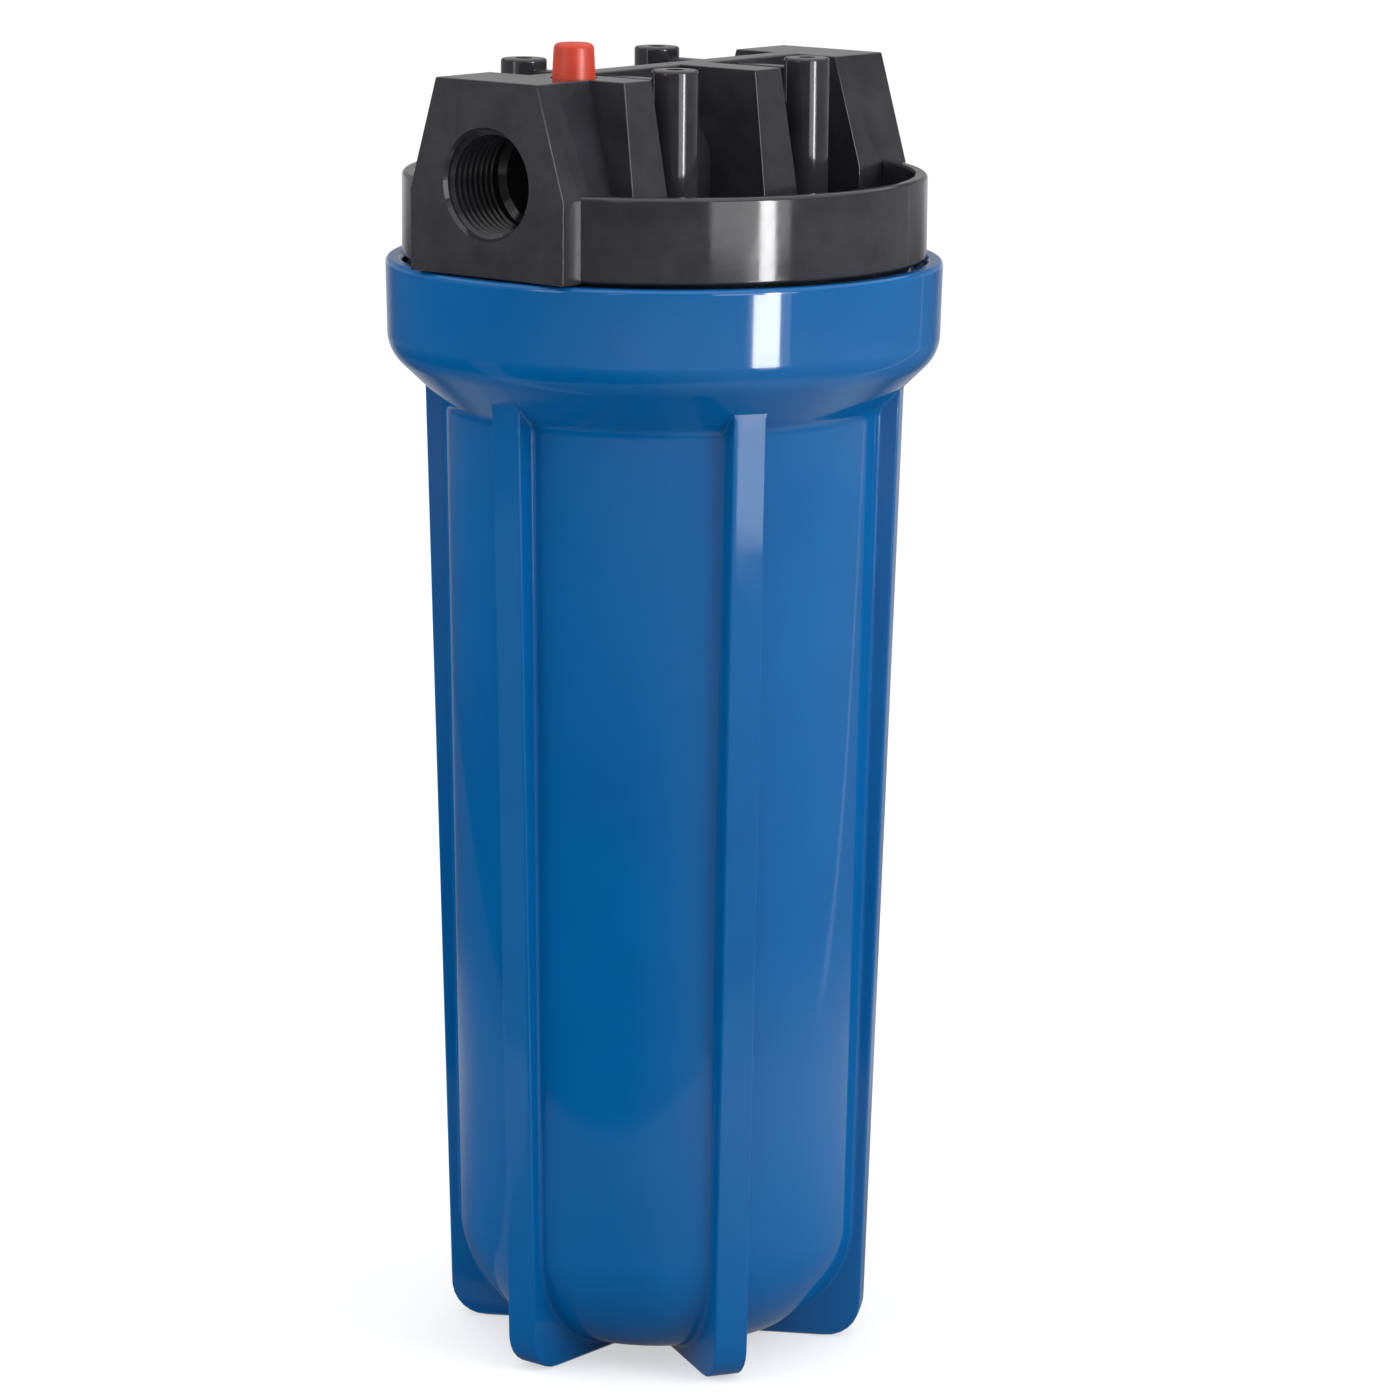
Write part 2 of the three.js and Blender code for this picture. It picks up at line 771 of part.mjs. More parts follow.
function makePleats() {
  const outer = cartridgeRadius - endCapLipWall - seatGap;
  const inner = cartridgeBore + coreWall + seatGap;
  const fold = ((2 * Math.PI * outer) / pleatCount) * pleatFoldShare;
  const valley = ((2 * Math.PI * inner) / pleatCount) * pleatValleyShare;
  const sheet = new THREE.Shape(pleatWave(outer, inner + pleatWall, fold + pleatWall, valley - pleatWall));
  sheet.holes.push(new THREE.Path(pleatWave(outer - pleatWall, inner, fold - pleatWall, valley + pleatWall)));
  const geometry = new THREE.ExtrudeGeometry(sheet, { depth: mediaTop - mediaFoot, bevelEnabled: false });
  return solid(geometry.translate(0, 0, mediaFoot));
}

// Materials
const bluePlastic = plastic(0x1f66ad, 0.3);
const blackPlastic = plastic(0x2b2a2d, 0.42);
const redPlastic = plastic(0xcc4a2c, 0.45);
const whitePlastic = plastic(0xe6e7e4, 0.5);
const blackRubber = plastic(0x1b1b1c, 0.75);
const greyRubber = plastic(0x3a3d40, 0.8);
const pleatedMedia = plastic(0xf0efe9, 0.9);
const steel = new THREE.MeshStandardMaterial({ color: 0xb9bcc0, roughness: 0.3, metalness: 1 });

// The assembly
const sumpGroup = new THREE.Group();
sumpGroup.add(piece("sump", makeSump(), bluePlastic));
sumpGroup.add(piece("main_o_ring", ring(sealRadius, sealCord, sealTop - sealCord / 2), blackRubber));

const capGroup = new THREE.Group();
capGroup.add(piece("cap_body", makeCap(), blackPlastic));
capGroup.add(piece("relief_button", makeButton(), redPlastic));
capGroup.add(piece("relief_stem", makeStem(), whitePlastic));
capGroup.add(piece("relief_spring", makeSpring(), steel));
capGroup.add(piece("relief_o_ring", makeValveRing(), blackRubber));

const cartridgeGroup = new THREE.Group();
cartridgeGroup.add(piece("cartridge_core", makeCore(), whitePlastic));
cartridgeGroup.add(piece("cartridge_pleats", makePleats(), pleatedMedia));
cartridgeGroup.add(piece("cartridge_bottom_end_cap", makeEndCap(), whitePlastic));
cartridgeGroup.add(piece("cartridge_top_end_cap", turnedOver(makeEndCap()), whitePlastic));
cartridgeGroup.add(piece("cartridge_bottom_gasket", makeGasket(), greyRubber));
cartridgeGroup.add(piece("cartridge_top_gasket", turnedOver(makeGasket()), greyRubber));

const housing = new THREE.Group();
housing.add(sumpGroup, capGroup, cartridgeGroup);

export default housing;
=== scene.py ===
"""A cartridge filter housing: a blue ribbed sump on six feet, a black screwed cap with two pipe ports and a
red pressure relief button, and the pleated cartridge between them. Lengths are in millimetres and become
metres where a mesh is placed. The axis is +Z, and the ports lie along X, the inlet at -X."""

from math import asin, copysign, cos, pi, radians, sin, sqrt

import bpy
import numpy as np
from mathutils import Matrix, Vector


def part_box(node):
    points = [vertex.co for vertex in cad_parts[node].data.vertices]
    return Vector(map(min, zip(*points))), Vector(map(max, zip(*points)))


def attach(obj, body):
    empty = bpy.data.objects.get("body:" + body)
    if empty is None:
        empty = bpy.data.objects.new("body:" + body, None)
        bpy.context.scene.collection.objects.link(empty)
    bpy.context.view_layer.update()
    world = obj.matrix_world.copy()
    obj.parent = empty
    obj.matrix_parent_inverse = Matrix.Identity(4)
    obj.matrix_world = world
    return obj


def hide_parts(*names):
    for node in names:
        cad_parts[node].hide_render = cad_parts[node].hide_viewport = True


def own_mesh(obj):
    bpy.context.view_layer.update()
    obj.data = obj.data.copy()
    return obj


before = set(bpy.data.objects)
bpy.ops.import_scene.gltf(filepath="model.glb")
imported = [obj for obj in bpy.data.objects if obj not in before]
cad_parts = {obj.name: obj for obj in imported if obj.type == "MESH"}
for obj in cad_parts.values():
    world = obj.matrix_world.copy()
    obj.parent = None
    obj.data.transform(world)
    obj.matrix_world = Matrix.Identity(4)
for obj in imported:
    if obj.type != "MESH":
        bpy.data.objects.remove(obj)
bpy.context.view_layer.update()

MM = 0.001


# Sizes read from the frame

def low(node):
    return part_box(node)[0] / MM


def high(node):
    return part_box(node)[1] / MM


CAP_LOW, CAP_HIGH = low("cap_body"), high("cap_body")
BUTTON_LOW, BUTTON_HIGH = low("relief_button"), high("relief_button")
STEM_LOW, STEM_HIGH = low("relief_stem"), high("relief_stem")
SPRING_LOW, SPRING_HIGH = low("relief_spring"), high("relief_spring")
SEAL_LOW, SEAL_HIGH = low("main_o_ring"), high("main_o_ring")
VALVE_RING_LOW, VALVE_RING_HIGH = low("relief_o_ring"), high("relief_o_ring")
PLEATS_LOW, PLEATS_HIGH = low("cartridge_pleats"), high("cartridge_pleats")
CARTRIDGE_LOW = low("cartridge_bottom_gasket").z
CARTRIDGE_HIGH = high("cartridge_top_gasket").z
END_CAP_LOW, END_CAP_HIGH = low("cartridge_bottom_end_cap"), high("cartridge_bottom_end_cap")
GASKET_HIGH = high("cartridge_bottom_gasket")

# Sump
RIM = high("sump").z
RIM_RADIUS = 65
COLLAR_FOOT_RADIUS = 64.5
COLLAR_DEPTH = 21.5
UNDERSIDE_RISE = 12.4
THREAD_BORE = 60.9
BODY_TOP_RADIUS = 51.4
BODY_FOOT_RADIUS = 47.3
BODY_WALL = 4.2
BASE_LIFT = 1.8
BASE_WALL = 4.5
BASE_ROUND = 27
BASE_BORE_ROUND = 20.8
SHOULDER_WIDTH, SHOULDER_DEPTH = 2.8, 15  # from the sealing ledge down to the bore
LEDGE = RIM - 20.6
GROOVE_WIDER, GROOVE_DEEPER = 0.4, 0.3  # than the main O-ring
SEAT_RADIUS = 19.5
SEAT_TIP_HALF, SEAT_FOOT_HALF = 0.7, 2.3
SEAT_HEIGHT = 3.4
SPIGOT_RADIUS = 12.8
SPIGOT_REACH = 7  # into the cartridge
RIB_COUNT = 6
RIB_HALF = 4.05
RIB_HEEL = 19
RIB_FOOT_RADIUS = 49.9
RIB_TOP_RADIUS = 56.4
RIB_TOP = 235
RIB_TOE = 8
RIB_EDGE = 0.5
RIB_FILLET = 0.9
RIB_END_SHARES = (0.7, 0.97, 0.9999)  # extra rows under the collar, where a rib runs out
THREAD_LEAD = 6.35
THREAD_DEPTH = 1.6
THREAD_TURNS = 2.1
COLLAR_THREAD_START = 4.6  # over the sealing ledge
NECK_THREAD_START = 3.6  # over the neck's foot
RUN_OUT = 1 / 5  # of a turn, over which a thread fades out
PROFILE_STEP = 9  # the longest piece of the sump's section

# Cap
NECK_RADIUS = 57.4
NECK_WALL = 4.6
NECK_FOOT = CAP_LOW.z
SKIRT_RADIUS = 61.1
SKIRT_WALL = 3.2
SKIRT_FOOT = RIM + 0.4
SKIRT_TOP = RIM + 20
POCKET = RIM + 6.5
CEILING = POCKET - 3.9
ROOT = CEILING + 0.5  # where the pieces that stand on the cap's floor start, inside it
PORT = RIM + 21.3
PORT_RADIUS = 12.2
PORT_DEPTH = 18
PORT_MOUTH = 12.8
PORT_CHAMFER = 1
PORT_END = 1.2  # the depth of the cone at the end of the bore
PASSAGE_RADIUS = 10.6
INLET_STOP = 24.5
INLET_RADIUS = 7.2
INLET_X = -32.5
OUTLET_RADIUS = 9
OUTLET_OVER = 5  # over the ports' axis, inside the passage
PIPE_PITCH = 1.814
PIPE_THREAD_DEPTH = 1
PIPE_THREAD_LENGTH = 15.5
PIPE_THREAD_TURNS = 7.6
FACE = CAP_HIGH.x
BLOCK_INNER = 44.5
SPINE_REACH = BLOCK_INNER + 2
BLOCK_HALF = 22.8
SHOULDER = PORT - 2.3
DECK = PORT + 23.2
DECK_HALF = 15
TRUNK_HALF = 13.4
SPINE_HALF = 3.2
LOBE_REACH = 25.3
LOBE_FOOT_REACH = 31.2
LOBE_SUNK = 1.5  # under the pocket's floor, where the lobe's slope ends
LOBE_LENGTH = 9.5
LOBE_LEAN = 2
LOBE_STARTS = (-45, 1.5)
BOSS_X, BOSS_Y = 24, 22.6
BOSS_RADIUS = 5.35
BOSS_TOP = DECK + 1.5
BOSS_HOLE = 2.1
BOSS_HOLE_DEPTH = 15
WEB_HALF = 2
WEB_TOP = DECK - 0.9
HANG = CEILING + 1  # where the pieces under the ceiling end, inside it
SEAT_DISC = CEILING - 2.2
SEAT_DISC_WIDER = 4  # than the sealing crest
SEAT_CREST_OVER = 0.3
OVERRUN = 2

# Valve
BUTTON_X = (BUTTON_LOW.x + BUTTON_HIGH.x) / 2
BUTTON_Y = (BUTTON_LOW.y + BUTTON_HIGH.y) / 2
BUTTON_CROWN = 2.2
BUTTON_SOCKET, BUTTON_SOCKET_DEPTH = 1.8, 1.2  # that holds the stem
BUTTON_BORE, BUTTON_FOOT_BORE = 3.6, 3.8  # round the spring
BUTTON_TAPER = 0.5
WELL_RADIUS = 5.35
WELL_FLOOR = DECK - 5.4
VALVE_SEAT = DECK - 12.6
VALVE_POCKET = 4.6
STEM_HOLE = 2
STEM_RADIUS = 1.5
FLANGE_RADIUS, FLANGE_HEIGHT = 3.9, 1.6
WIRE = 0.35  # half the spring wire's thickness
COILS = 5
END_TURN_SHARE = 0.6  # how much flatter the spring's end turns lie

# Cartridge
GASKET_BORE = 14
PART_GAP = 0.3
END_CAP_DISC = 4
END_CAP_LIP = 1.1
PLEATS = 38
PLEAT_SHEET = 0.6
PLEAT_INNER = 16.4
PLEAT_STEPS = 14
PLEAT_SHARPNESS = 0.55  # below 1 the folds are flatter and the flanks straighter


# Modelling

MERGE = 0.002  # points closer than this are one
SLIVER = 0.001  # edges shorter than this are dropped
BEVEL_ANGLE = 20  # only edges that turn by more are rounded


def only(obj):
    """Selects one object and nothing else."""
    bpy.ops.object.select_all(action="DESELECT")
    obj.select_set(True)
    bpy.context.view_layer.objects.active = obj


def outline(corners):
    """Points through corners (x, y) or (x, y, cut, steps). A corner with a cut is rounded, in that many
    steps, by an arc between the two points that lie at the cut's distance from it on its sides."""
    points = []
    for i, (x, y, *more) in enumerate(corners):
        corner = Vector((x, y))
        if not more:
            points.append(corner)
            continue
        cut, steps = more
        back = (Vector(corners[i - 1][:2]) - corner).normalized()
        ahead = (Vector(corners[(i + 1) % len(corners)][:2]) - corner).normalized()
        half = back.angle(ahead) / 2
        centre = corner + (back + ahead).normalized() * cut / cos(half)
        spoke = corner + back * cut - centre
        sweep = copysign(pi - 2 * half, ahead.cross(back))
        for step in range(steps + 1):
            points.append(centre + Matrix.Rotation(sweep * step / steps, 2) @ spoke)
    return points


def filled(points, longest):
    """The same line with points added wherever two lie further apart than longest."""
    made = []
    for a, b in zip(points, points[1:]):
        parts = max(1, round((b - a).length / longest + 0.5))
        made += [a.lerp(b, i / parts) for i in range(parts)]
    return made + [points[-1]]


def clean(obj):
    """Merges seams and poles, drops what that leaves loose, and turns the faces outwards."""
    only(obj)
    bpy.ops.object.mode_set(mode="EDIT")
    bpy.ops.mesh.select_all(action="SELECT")
    bpy.ops.mesh.remove_doubles(threshold=MERGE * MM)
    bpy.ops.mesh.dissolve_degenerate(threshold=SLIVER * MM)
    bpy.ops.mesh.select_all(action="SELECT")
    bpy.ops.mesh.delete_loose()
    bpy.ops.mesh.select_all(action="SELECT")
    bpy.ops.mesh.normals_make_consistent(inside=False)
    bpy.ops.object.mode_set(mode="OBJECT")
    return obj


def smooth(obj, angle):
    """Smooth shading up to an angle, with normals that follow the large faces, so that flats reflect as
    flats."""
    only(obj)
    bpy.ops.object.shade_smooth_by_angle(angle=radians(angle))
    modifier = obj.modifiers.new("Flats", "WEIGHTED_NORMAL")
    modifier.keep_sharp = True
    bpy.ops.object.modifier_apply(modifier=modifier.name)
    return obj


def net(name, points):
    """A grid whose points are placed one by one, in rows of (x, y, z) that are equally long. What meets is
    merged."""
    points = np.asarray(points, float) * MM
    rows, columns = points.shape[:2]
    bpy.ops.object.select_all(action="DESELECT")
    bpy.ops.mesh.primitive_grid_add(x_subdivisions=columns - 1, y_subdivisions=rows - 1, size=1)
    obj = bpy.context.object
    obj.name = obj.data.name = name
    obj.data.vertices.foreach_set("co", points.ravel())
    return clean(obj)


def turned(name, corners, steps=96, x=0, y=0):
    """A closed profile of (radius, height, cut, steps) corners, spun about the upright axis at x, y."""
    points = outline(corners)
    bpy.ops.object.select_all(action="DESELECT")
    bpy.ops.mesh.primitive_circle_add(vertices=len(points), radius=MM)
    obj = bpy.context.object
    obj.name = obj.data.name = name
    for vertex, (radius, height) in zip(obj.data.vertices, points):
        vertex.co = (radius * MM, 0, height * MM)
    bpy.ops.object.mode_set(mode="EDIT")
    bpy.ops.mesh.select_all(action="SELECT")
    bpy.ops.mesh.spin(steps=steps, angle=2 * pi, center=(0, 0, 0), axis=(0, 0, 1))
    bpy.ops.object.mode_set(mode="OBJECT")
    clean(obj)
    obj.data.transform(Matrix.Translation((x * MM, y * MM, 0)))
    return obj


def lying(obj, height):
    """Lays a piece that was turned upright along X, at a height."""
    obj.data.transform(Matrix.Translation((0, 0, height * MM)) @ Matrix.Rotation(pi / 2, 4, "Y"))
    return obj


def run(name, section, start, end, lean=0, bevel=0, segments=4):
    """A section of (y, z) corners that runs along X, its edges rounded. Both ends lean out towards the
    foot."""
    top = max(z for y, z in section)
    span = top - min(z for y, z in section)
    bpy.ops.object.select_all(action="DESELECT")
    bpy.ops.mesh.primitive_circle_add(vertices=len(section), radius=MM, fill_type="NGON")
    obj = bpy.context.object
    obj.name = obj.data.name = name
    for vertex, (y, z) in zip(obj.data.vertices, section):
        vertex.co = (start * MM, y * MM, z * MM)
    bpy.ops.object.mode_set(mode="EDIT")
    bpy.ops.mesh.select_all(action="SELECT")
    bpy.ops.mesh.extrude_region_move(TRANSFORM_OT_translate={"value": ((end - start) * MM, 0, 0)})
    bpy.ops.object.mode_set(mode="OBJECT")
    middle = (start + end) / 2
    for vertex in obj.data.vertices:
        out = copysign(lean, vertex.co.x / MM - middle)
        vertex.co.x += out * (top - vertex.co.z / MM) / span * MM
    clean(obj)
    if bevel:
        rounded(obj, bevel, segments)
    return obj


def rounded(obj, width, segments):
    """Rounds the edges of a piece."""
    modifier = obj.modifiers.new("Round", "BEVEL")
    modifier.width = width * MM
    modifier.segments = segments
    modifier.limit_method = "ANGLE"
    modifier.angle_limit = radians(BEVEL_ANGLE)
    only(obj)
    bpy.ops.object.modifier_apply(modifier=modifier.name)


def combine(base, others, operation):
    """Joins pieces to a base, or cuts them out of it, one by one."""
    for other in others:
        modifier = base.modifiers.new("Combine", "BOOLEAN")
        modifier.operation = operation
        modifier.solver = "EXACT"
        modifier.object = other
        only(base)
        bpy.ops.object.modifier_apply(modifier=modifier.name)
        bpy.data.objects.remove(other)


def gather(base, others):
    """Makes several closed shells one piece."""
    only(base)
    for other in others:
        other.select_set(True)
    bpy.ops.object.join()
    return base


def ramp(value):
    """From 0 to 1 with soft ends."""
    value = min(1, max(0, value))
    return value * value * (3 - 2 * value)


def thread(name, root, crest, pitch, start, turns, shares=(0.8, 0.25), steps=120, sunk=0.25):
    """One closed ridge along a helix about the upright axis. It stands on the root radius, sunk into the
    wall a little, and runs out at both ends. The shares are its widths at foot and crest in the pitch."""
    back = root + copysign(sunk, root - crest)
    count = round(turns * steps)
    fade = steps * RUN_OUT
    rings = []
    for i in range(count + 1):
        angle = 2 * pi * i / steps
        share = ramp(i / fade) * ramp((count - i) / fade)
        edge = root + (crest - root) * share
        half_foot = pitch * shares[0] / 2 * max(share, 0.02)
        half_crest = pitch * shares[1] / 2 * share
        z = start + pitch * i / steps
        section = [(back, z - half_foot), (edge, z - half_crest)]
        section += [(edge, z + half_crest), (back, z + half_foot)]
        if i in (0, count):
            section = [(back, z)] * 4
        section.append(section[0])
        rings.append([(r * cos(angle), r * sin(angle), h) for r, h in section])
    return net(name, rings)


# Sump

DOME_CENTRE = Vector((BODY_FOOT_RADIUS - BASE_ROUND, BASE_LIFT + BASE_ROUND))


def rib_edge():
    """The outline of a rib's edge from its heel, along the floor, round the toe and up."""
    corners = [
        (RIB_HEEL, 0),
        (RIB_FOOT_RADIUS, 0, RIB_TOE, 12),
        (RIB_TOP_RADIUS, RIB_TOP),
        (RIB_HEEL, RIB_TOP),
    ]
    return outline(corners)[:-1]


def hit(origin, toward, line):
    """Where a ray meets a line of points."""
    for a, b in zip(line, line[1:]):
        along = b - a
        cross = toward.cross(along)
        if abs(cross) < 1e-9:
            continue
        reach = (a - origin).cross(along) / cross
        share = (a - origin).cross(toward) / cross
        if reach > 0 and -1e-6 <= share <= 1 + 1e-6:
            return origin + toward * reach
    return None


def rib_rise(point):
    """How far a rib's edge stands out from a point of the sump's side."""
    return RIB_FOOT_RADIUS + (RIB_TOP_RADIUS - RIB_FOOT_RADIUS) * point.y / RIB_TOP - point.x


def rib_over(point, edge):
    """The point of a rib's edge that stands over a point of the sump's outside."""
    if point.x < RIB_HEEL or point.y > RIB_TOP + 2:
        return point
    if point.y < DOME_CENTRE.y:
        if point.x <= DOME_CENTRE.x:
            return Vector((point.x, 0))
        return hit(DOME_CENTRE, (point - DOME_CENTRE).normalized(), edge)
    return Vector((point.x + max(0, rib_rise(point)), point.y))


def rib_end():
    """Points up to where a rib's edge meets the underside of the collar."""
    foot = Vector((BODY_TOP_RADIUS, RIM - COLLAR_DEPTH - UNDERSIDE_RISE))
    top = Vector((COLLAR_FOOT_RADIUS, RIM - COLLAR_DEPTH))
    share = rib_rise(foot) / (rib_rise(foot) - rib_rise(top))
    return [tuple(foot.lerp(top, share * part)) for part in RIB_END_SHARES]


# faces across half a rib's crest, its edge, its side and its fillet, and from there half way to the next rib
CREST_STEPS, EDGE_STEPS, SIDE_STEPS, FILLET_STEPS, WALL_STEPS = 2, 3, 4, 5, 14


def half_row(point, over):
    """Half a row of the sump's skin, from the middle of a rib, along X, to half way to the next rib."""
    radius, height = point
    tall = (over - point).length
    thick = RIB_HALF * min(1, radius / RIB_HEEL)
    fit = min(1, tall / (RIB_EDGE + RIB_FILLET))
    edge, fillet = RIB_EDGE * fit, RIB_FILLET * fit
    places = [((thick - edge) * i / CREST_STEPS, tall) for i in range(CREST_STEPS)]
    for i in range(EDGE_STEPS):
        turn = pi / 2 * i / EDGE_STEPS
        places.append((thick - edge + edge * sin(turn), tall - edge + edge * cos(turn)))
    for i in range(SIDE_STEPS):
        places.append((thick, tall - edge + (fillet - tall + edge) * i / SIDE_STEPS))
    for i in range(FILLET_STEPS):
        turn = pi / 2 * i / FILLET_STEPS
        places.append((thick + fillet * (1 - cos(turn)), fillet * (1 - sin(turn))))
    row = []
    for y, above in places:
        share = above / tall if tall > 1e-6 else 0
        x = sqrt(max(radius * radius - y * y, 0))
        row.append((x + (over.x - x) * share, y, height + (over.y - height) * share))
    first = asin(min(1, (thick + fillet) / radius)) if radius > 1e-6 else 0
    last = pi / RIB_COUNT
    for i in range(WALL_STEPS + 1):
        turn = first + (last - first) * i / WALL_STEPS
        row.append((radius * cos(turn), radius * sin(turn), height))
    return np.array(row)


def skin_row(point, over):
    """One whole row of the sump's skin: six ribs, each with half of the wall on both sides."""
    half = half_row(point, over)
    mirrored = half[:0:-1] * (1, -1, 1)
    sector = np.vstack([mirrored, half[:-1]])
    row = []
    for i in range(RIB_COUNT):
        turn = 2 * pi * i / RIB_COUNT
        spin = np.array([[cos(turn), sin(turn), 0], [-sin(turn), cos(turn), 0], [0, 0, 1]])
        row.append(sector @ spin)
    row.append(row[0][:1])
    return np.vstack(row)


def sump_profile():
    """The sump's section, from the middle of its underside out, up, over the rim and down inside."""
    underside = RIM - COLLAR_DEPTH
    bore_top = BODY_TOP_RADIUS - BODY_WALL
    bore_foot = BODY_FOOT_RADIUS - BODY_WALL
    floor = BASE_LIFT + BASE_WALL
    crest = floor + SEAT_HEIGHT
    groove_floor = SEAL_LOW.z - GROOVE_DEEPER
    seal_half = (SEAL_HIGH.z - SEAL_LOW.z) / 2
    seal = SEAL_HIGH.x - seal_half
    groove_half = seal_half + GROOVE_WIDER
    return outline([
        (0, BASE_LIFT),
        (RIB_HEEL - 0.1, BASE_LIFT),
        (RIB_HEEL, BASE_LIFT),
        (RIB_HEEL + 0.25, BASE_LIFT),
        (BODY_FOOT_RADIUS, BASE_LIFT, BASE_ROUND, 30),
        (BODY_TOP_RADIUS, underside - UNDERSIDE_RISE, 1.6, 6),
        *rib_end(),
        (COLLAR_FOOT_RADIUS, underside, 4, 10),
        (RIM_RADIUS, RIM, 1.2, 6),
        (THREAD_BORE + 1, RIM, 0.3, 2),
        (THREAD_BORE, RIM - 1, 0.3, 2),
        (THREAD_BORE, LEDGE, 0.5, 3),
        (seal + groove_half, LEDGE, 0.2, 2),
        (seal + groove_half, groove_floor, 0.4, 3),
        (seal - groove_half, groove_floor, 0.4, 3),
        (seal - groove_half, LEDGE, 0.2, 2),
        (bore_top + SHOULDER_WIDTH, LEDGE, 0.8, 4),
        (bore_top, LEDGE - SHOULDER_DEPTH, 2, 4),
        (bore_foot, floor, BASE_BORE_ROUND, 16),
        (SEAT_RADIUS + SEAT_FOOT_HALF, floor),
        (SEAT_RADIUS + SEAT_TIP_HALF, crest, 0.4, 3),
        (SEAT_RADIUS - SEAT_TIP_HALF, crest, 0.4, 3),
        (SEAT_RADIUS - SEAT_FOOT_HALF, floor, 0.5, 3),
        (SPIGOT_RADIUS, floor, 0.8, 4),
        (SPIGOT_RADIUS, CARTRIDGE_LOW + SPIGOT_REACH, 1.5, 5),
        (0, CARTRIDGE_LOW + SPIGOT_REACH),
    ])


def heel_rows():
    """A rib's heel: its rounded inner end, from the underside of the base down to the floor."""
    return [
        (RIB_HEEL, BASE_LIFT),
        (RIB_HEEL, BASE_LIFT / 2),
        (RIB_HEEL + 0.02, 0.5),
        (RIB_HEEL + 0.08, 0.2),
        (RIB_HEEL + 0.24, 0),
    ]


def make_sump():
    edge = rib_edge()
    rows = []
    outside = True
    for point in filled(sump_profile(), PROFILE_STEP):
        outside = outside and point.y < RIM - 0.01
        if outside and abs(point.x - RIB_HEEL) < 1e-6:
            rows += [skin_row(point, Vector(place)) for place in heel_rows()]
        else:
            rows.append(skin_row(point, rib_over(point, edge) if outside else point))
    sump = net("sump_moulding", rows)
    ridge = thread("sump_thread", THREAD_BORE, THREAD_BORE - THREAD_DEPTH, THREAD_LEAD,
                   LEDGE + COLLAR_THREAD_START, THREAD_TURNS)
    return smooth(gather(sump, [ridge]), 38)


# Cap

def cap_shell():
    inner = NECK_RADIUS - NECK_WALL
    return turned("cap_moulding", [
        (0, CEILING),
        (inner, CEILING, 1.2, 4),
        (inner, NECK_FOOT, 0.4, 2),
        (NECK_RADIUS, NECK_FOOT, 0.8, 3),
        (NECK_RADIUS, SKIRT_FOOT, 0.5, 3),
        (SKIRT_RADIUS, SKIRT_FOOT, 0.9, 4),
        (SKIRT_RADIUS, SKIRT_TOP, 1.1, 5),
        (SKIRT_RADIUS - SKIRT_WALL, SKIRT_TOP, 0.8, 4),
        (SKIRT_RADIUS - SKIRT_WALL, POCKET, 1.2, 4),
        (0, POCKET),
    ], steps=144)


def port_block(side):
    section = [
        (-BLOCK_HALF, SKIRT_FOOT),
        (BLOCK_HALF, SKIRT_FOOT),
        (BLOCK_HALF, SHOULDER),
        (DECK_HALF, DECK),
        (-DECK_HALF, DECK),
        (-BLOCK_HALF, SHOULDER),
    ]
    start, end = sorted((side * BLOCK_INNER, side * FACE))
    return run("block", section, start, end, bevel=0.3, segments=3)


def trunk():
    corners = [
        (-TRUNK_HALF, ROOT),
        (TRUNK_HALF, ROOT),
        (TRUNK_HALF, PORT + TRUNK_HALF, TRUNK_HALF, 14),
        (-TRUNK_HALF, PORT + TRUNK_HALF, TRUNK_HALF, 14),
    ]
    section = [tuple(p) for p in outline(corners)]
    return run("trunk", section, -SPINE_REACH, SPINE_REACH)


def spine():
    section = [(-SPINE_HALF, PORT), (SPINE_HALF, PORT), (SPINE_HALF, DECK), (-SPINE_HALF, DECK)]
    return run("spine", section, -SPINE_REACH, SPINE_REACH, bevel=0.5)


def lobe(start):
    section = [
        (0, ROOT),
        (0, DECK),
        (-LOBE_REACH, DECK),
        (-LOBE_FOOT_REACH, POCKET - LOBE_SUNK),
        (-LOBE_FOOT_REACH, ROOT),
    ]
    return run("lobe", section, start, start + LOBE_LENGTH, lean=LOBE_LEAN, bevel=0.25, segments=3)


def web(x):
    section = [
        (-BOSS_Y, ROOT),
        (BOSS_Y, ROOT),
        (BOSS_Y, WEB_TOP),
        (-BOSS_Y, WEB_TOP),
    ]
    return run("web", section, x - WEB_HALF, x + WEB_HALF, bevel=0.4, segments=3)


def boss(x, y):
    corners = [(0, ROOT), (BOSS_RADIUS, ROOT), (BOSS_RADIUS, BOSS_TOP, 0.7, 4), (0, BOSS_TOP)]
    return turned("boss", corners, 48, x, y)


def cartridge_seat():
    """The sealing crest and the spigot that hold the cartridge's top, under the cap."""
    crest = CARTRIDGE_HIGH + SEAT_CREST_OVER
    tip = CARTRIDGE_HIGH - SPIGOT_REACH
    return turned("seat", [
        (0, tip),
        (SPIGOT_RADIUS, tip, 1.5, 4),
        (SPIGOT_RADIUS, SEAT_DISC, 0.8, 3),
        (SEAT_RADIUS - SEAT_FOOT_HALF, SEAT_DISC, 0.4, 2),
        (SEAT_RADIUS - SEAT_TIP_HALF, crest, 0.4, 3),
        (SEAT_RADIUS + SEAT_TIP_HALF, crest, 0.4, 3),
        (SEAT_RADIUS + SEAT_FOOT_HALF, SEAT_DISC, 0.4, 2),
        (SEAT_RADIUS + SEAT_DISC_WIDER, SEAT_DISC, 0.4, 2),
        (SEAT_RADIUS + SEAT_DISC_WIDER, HANG),
        (0, HANG),
    ], steps=72)


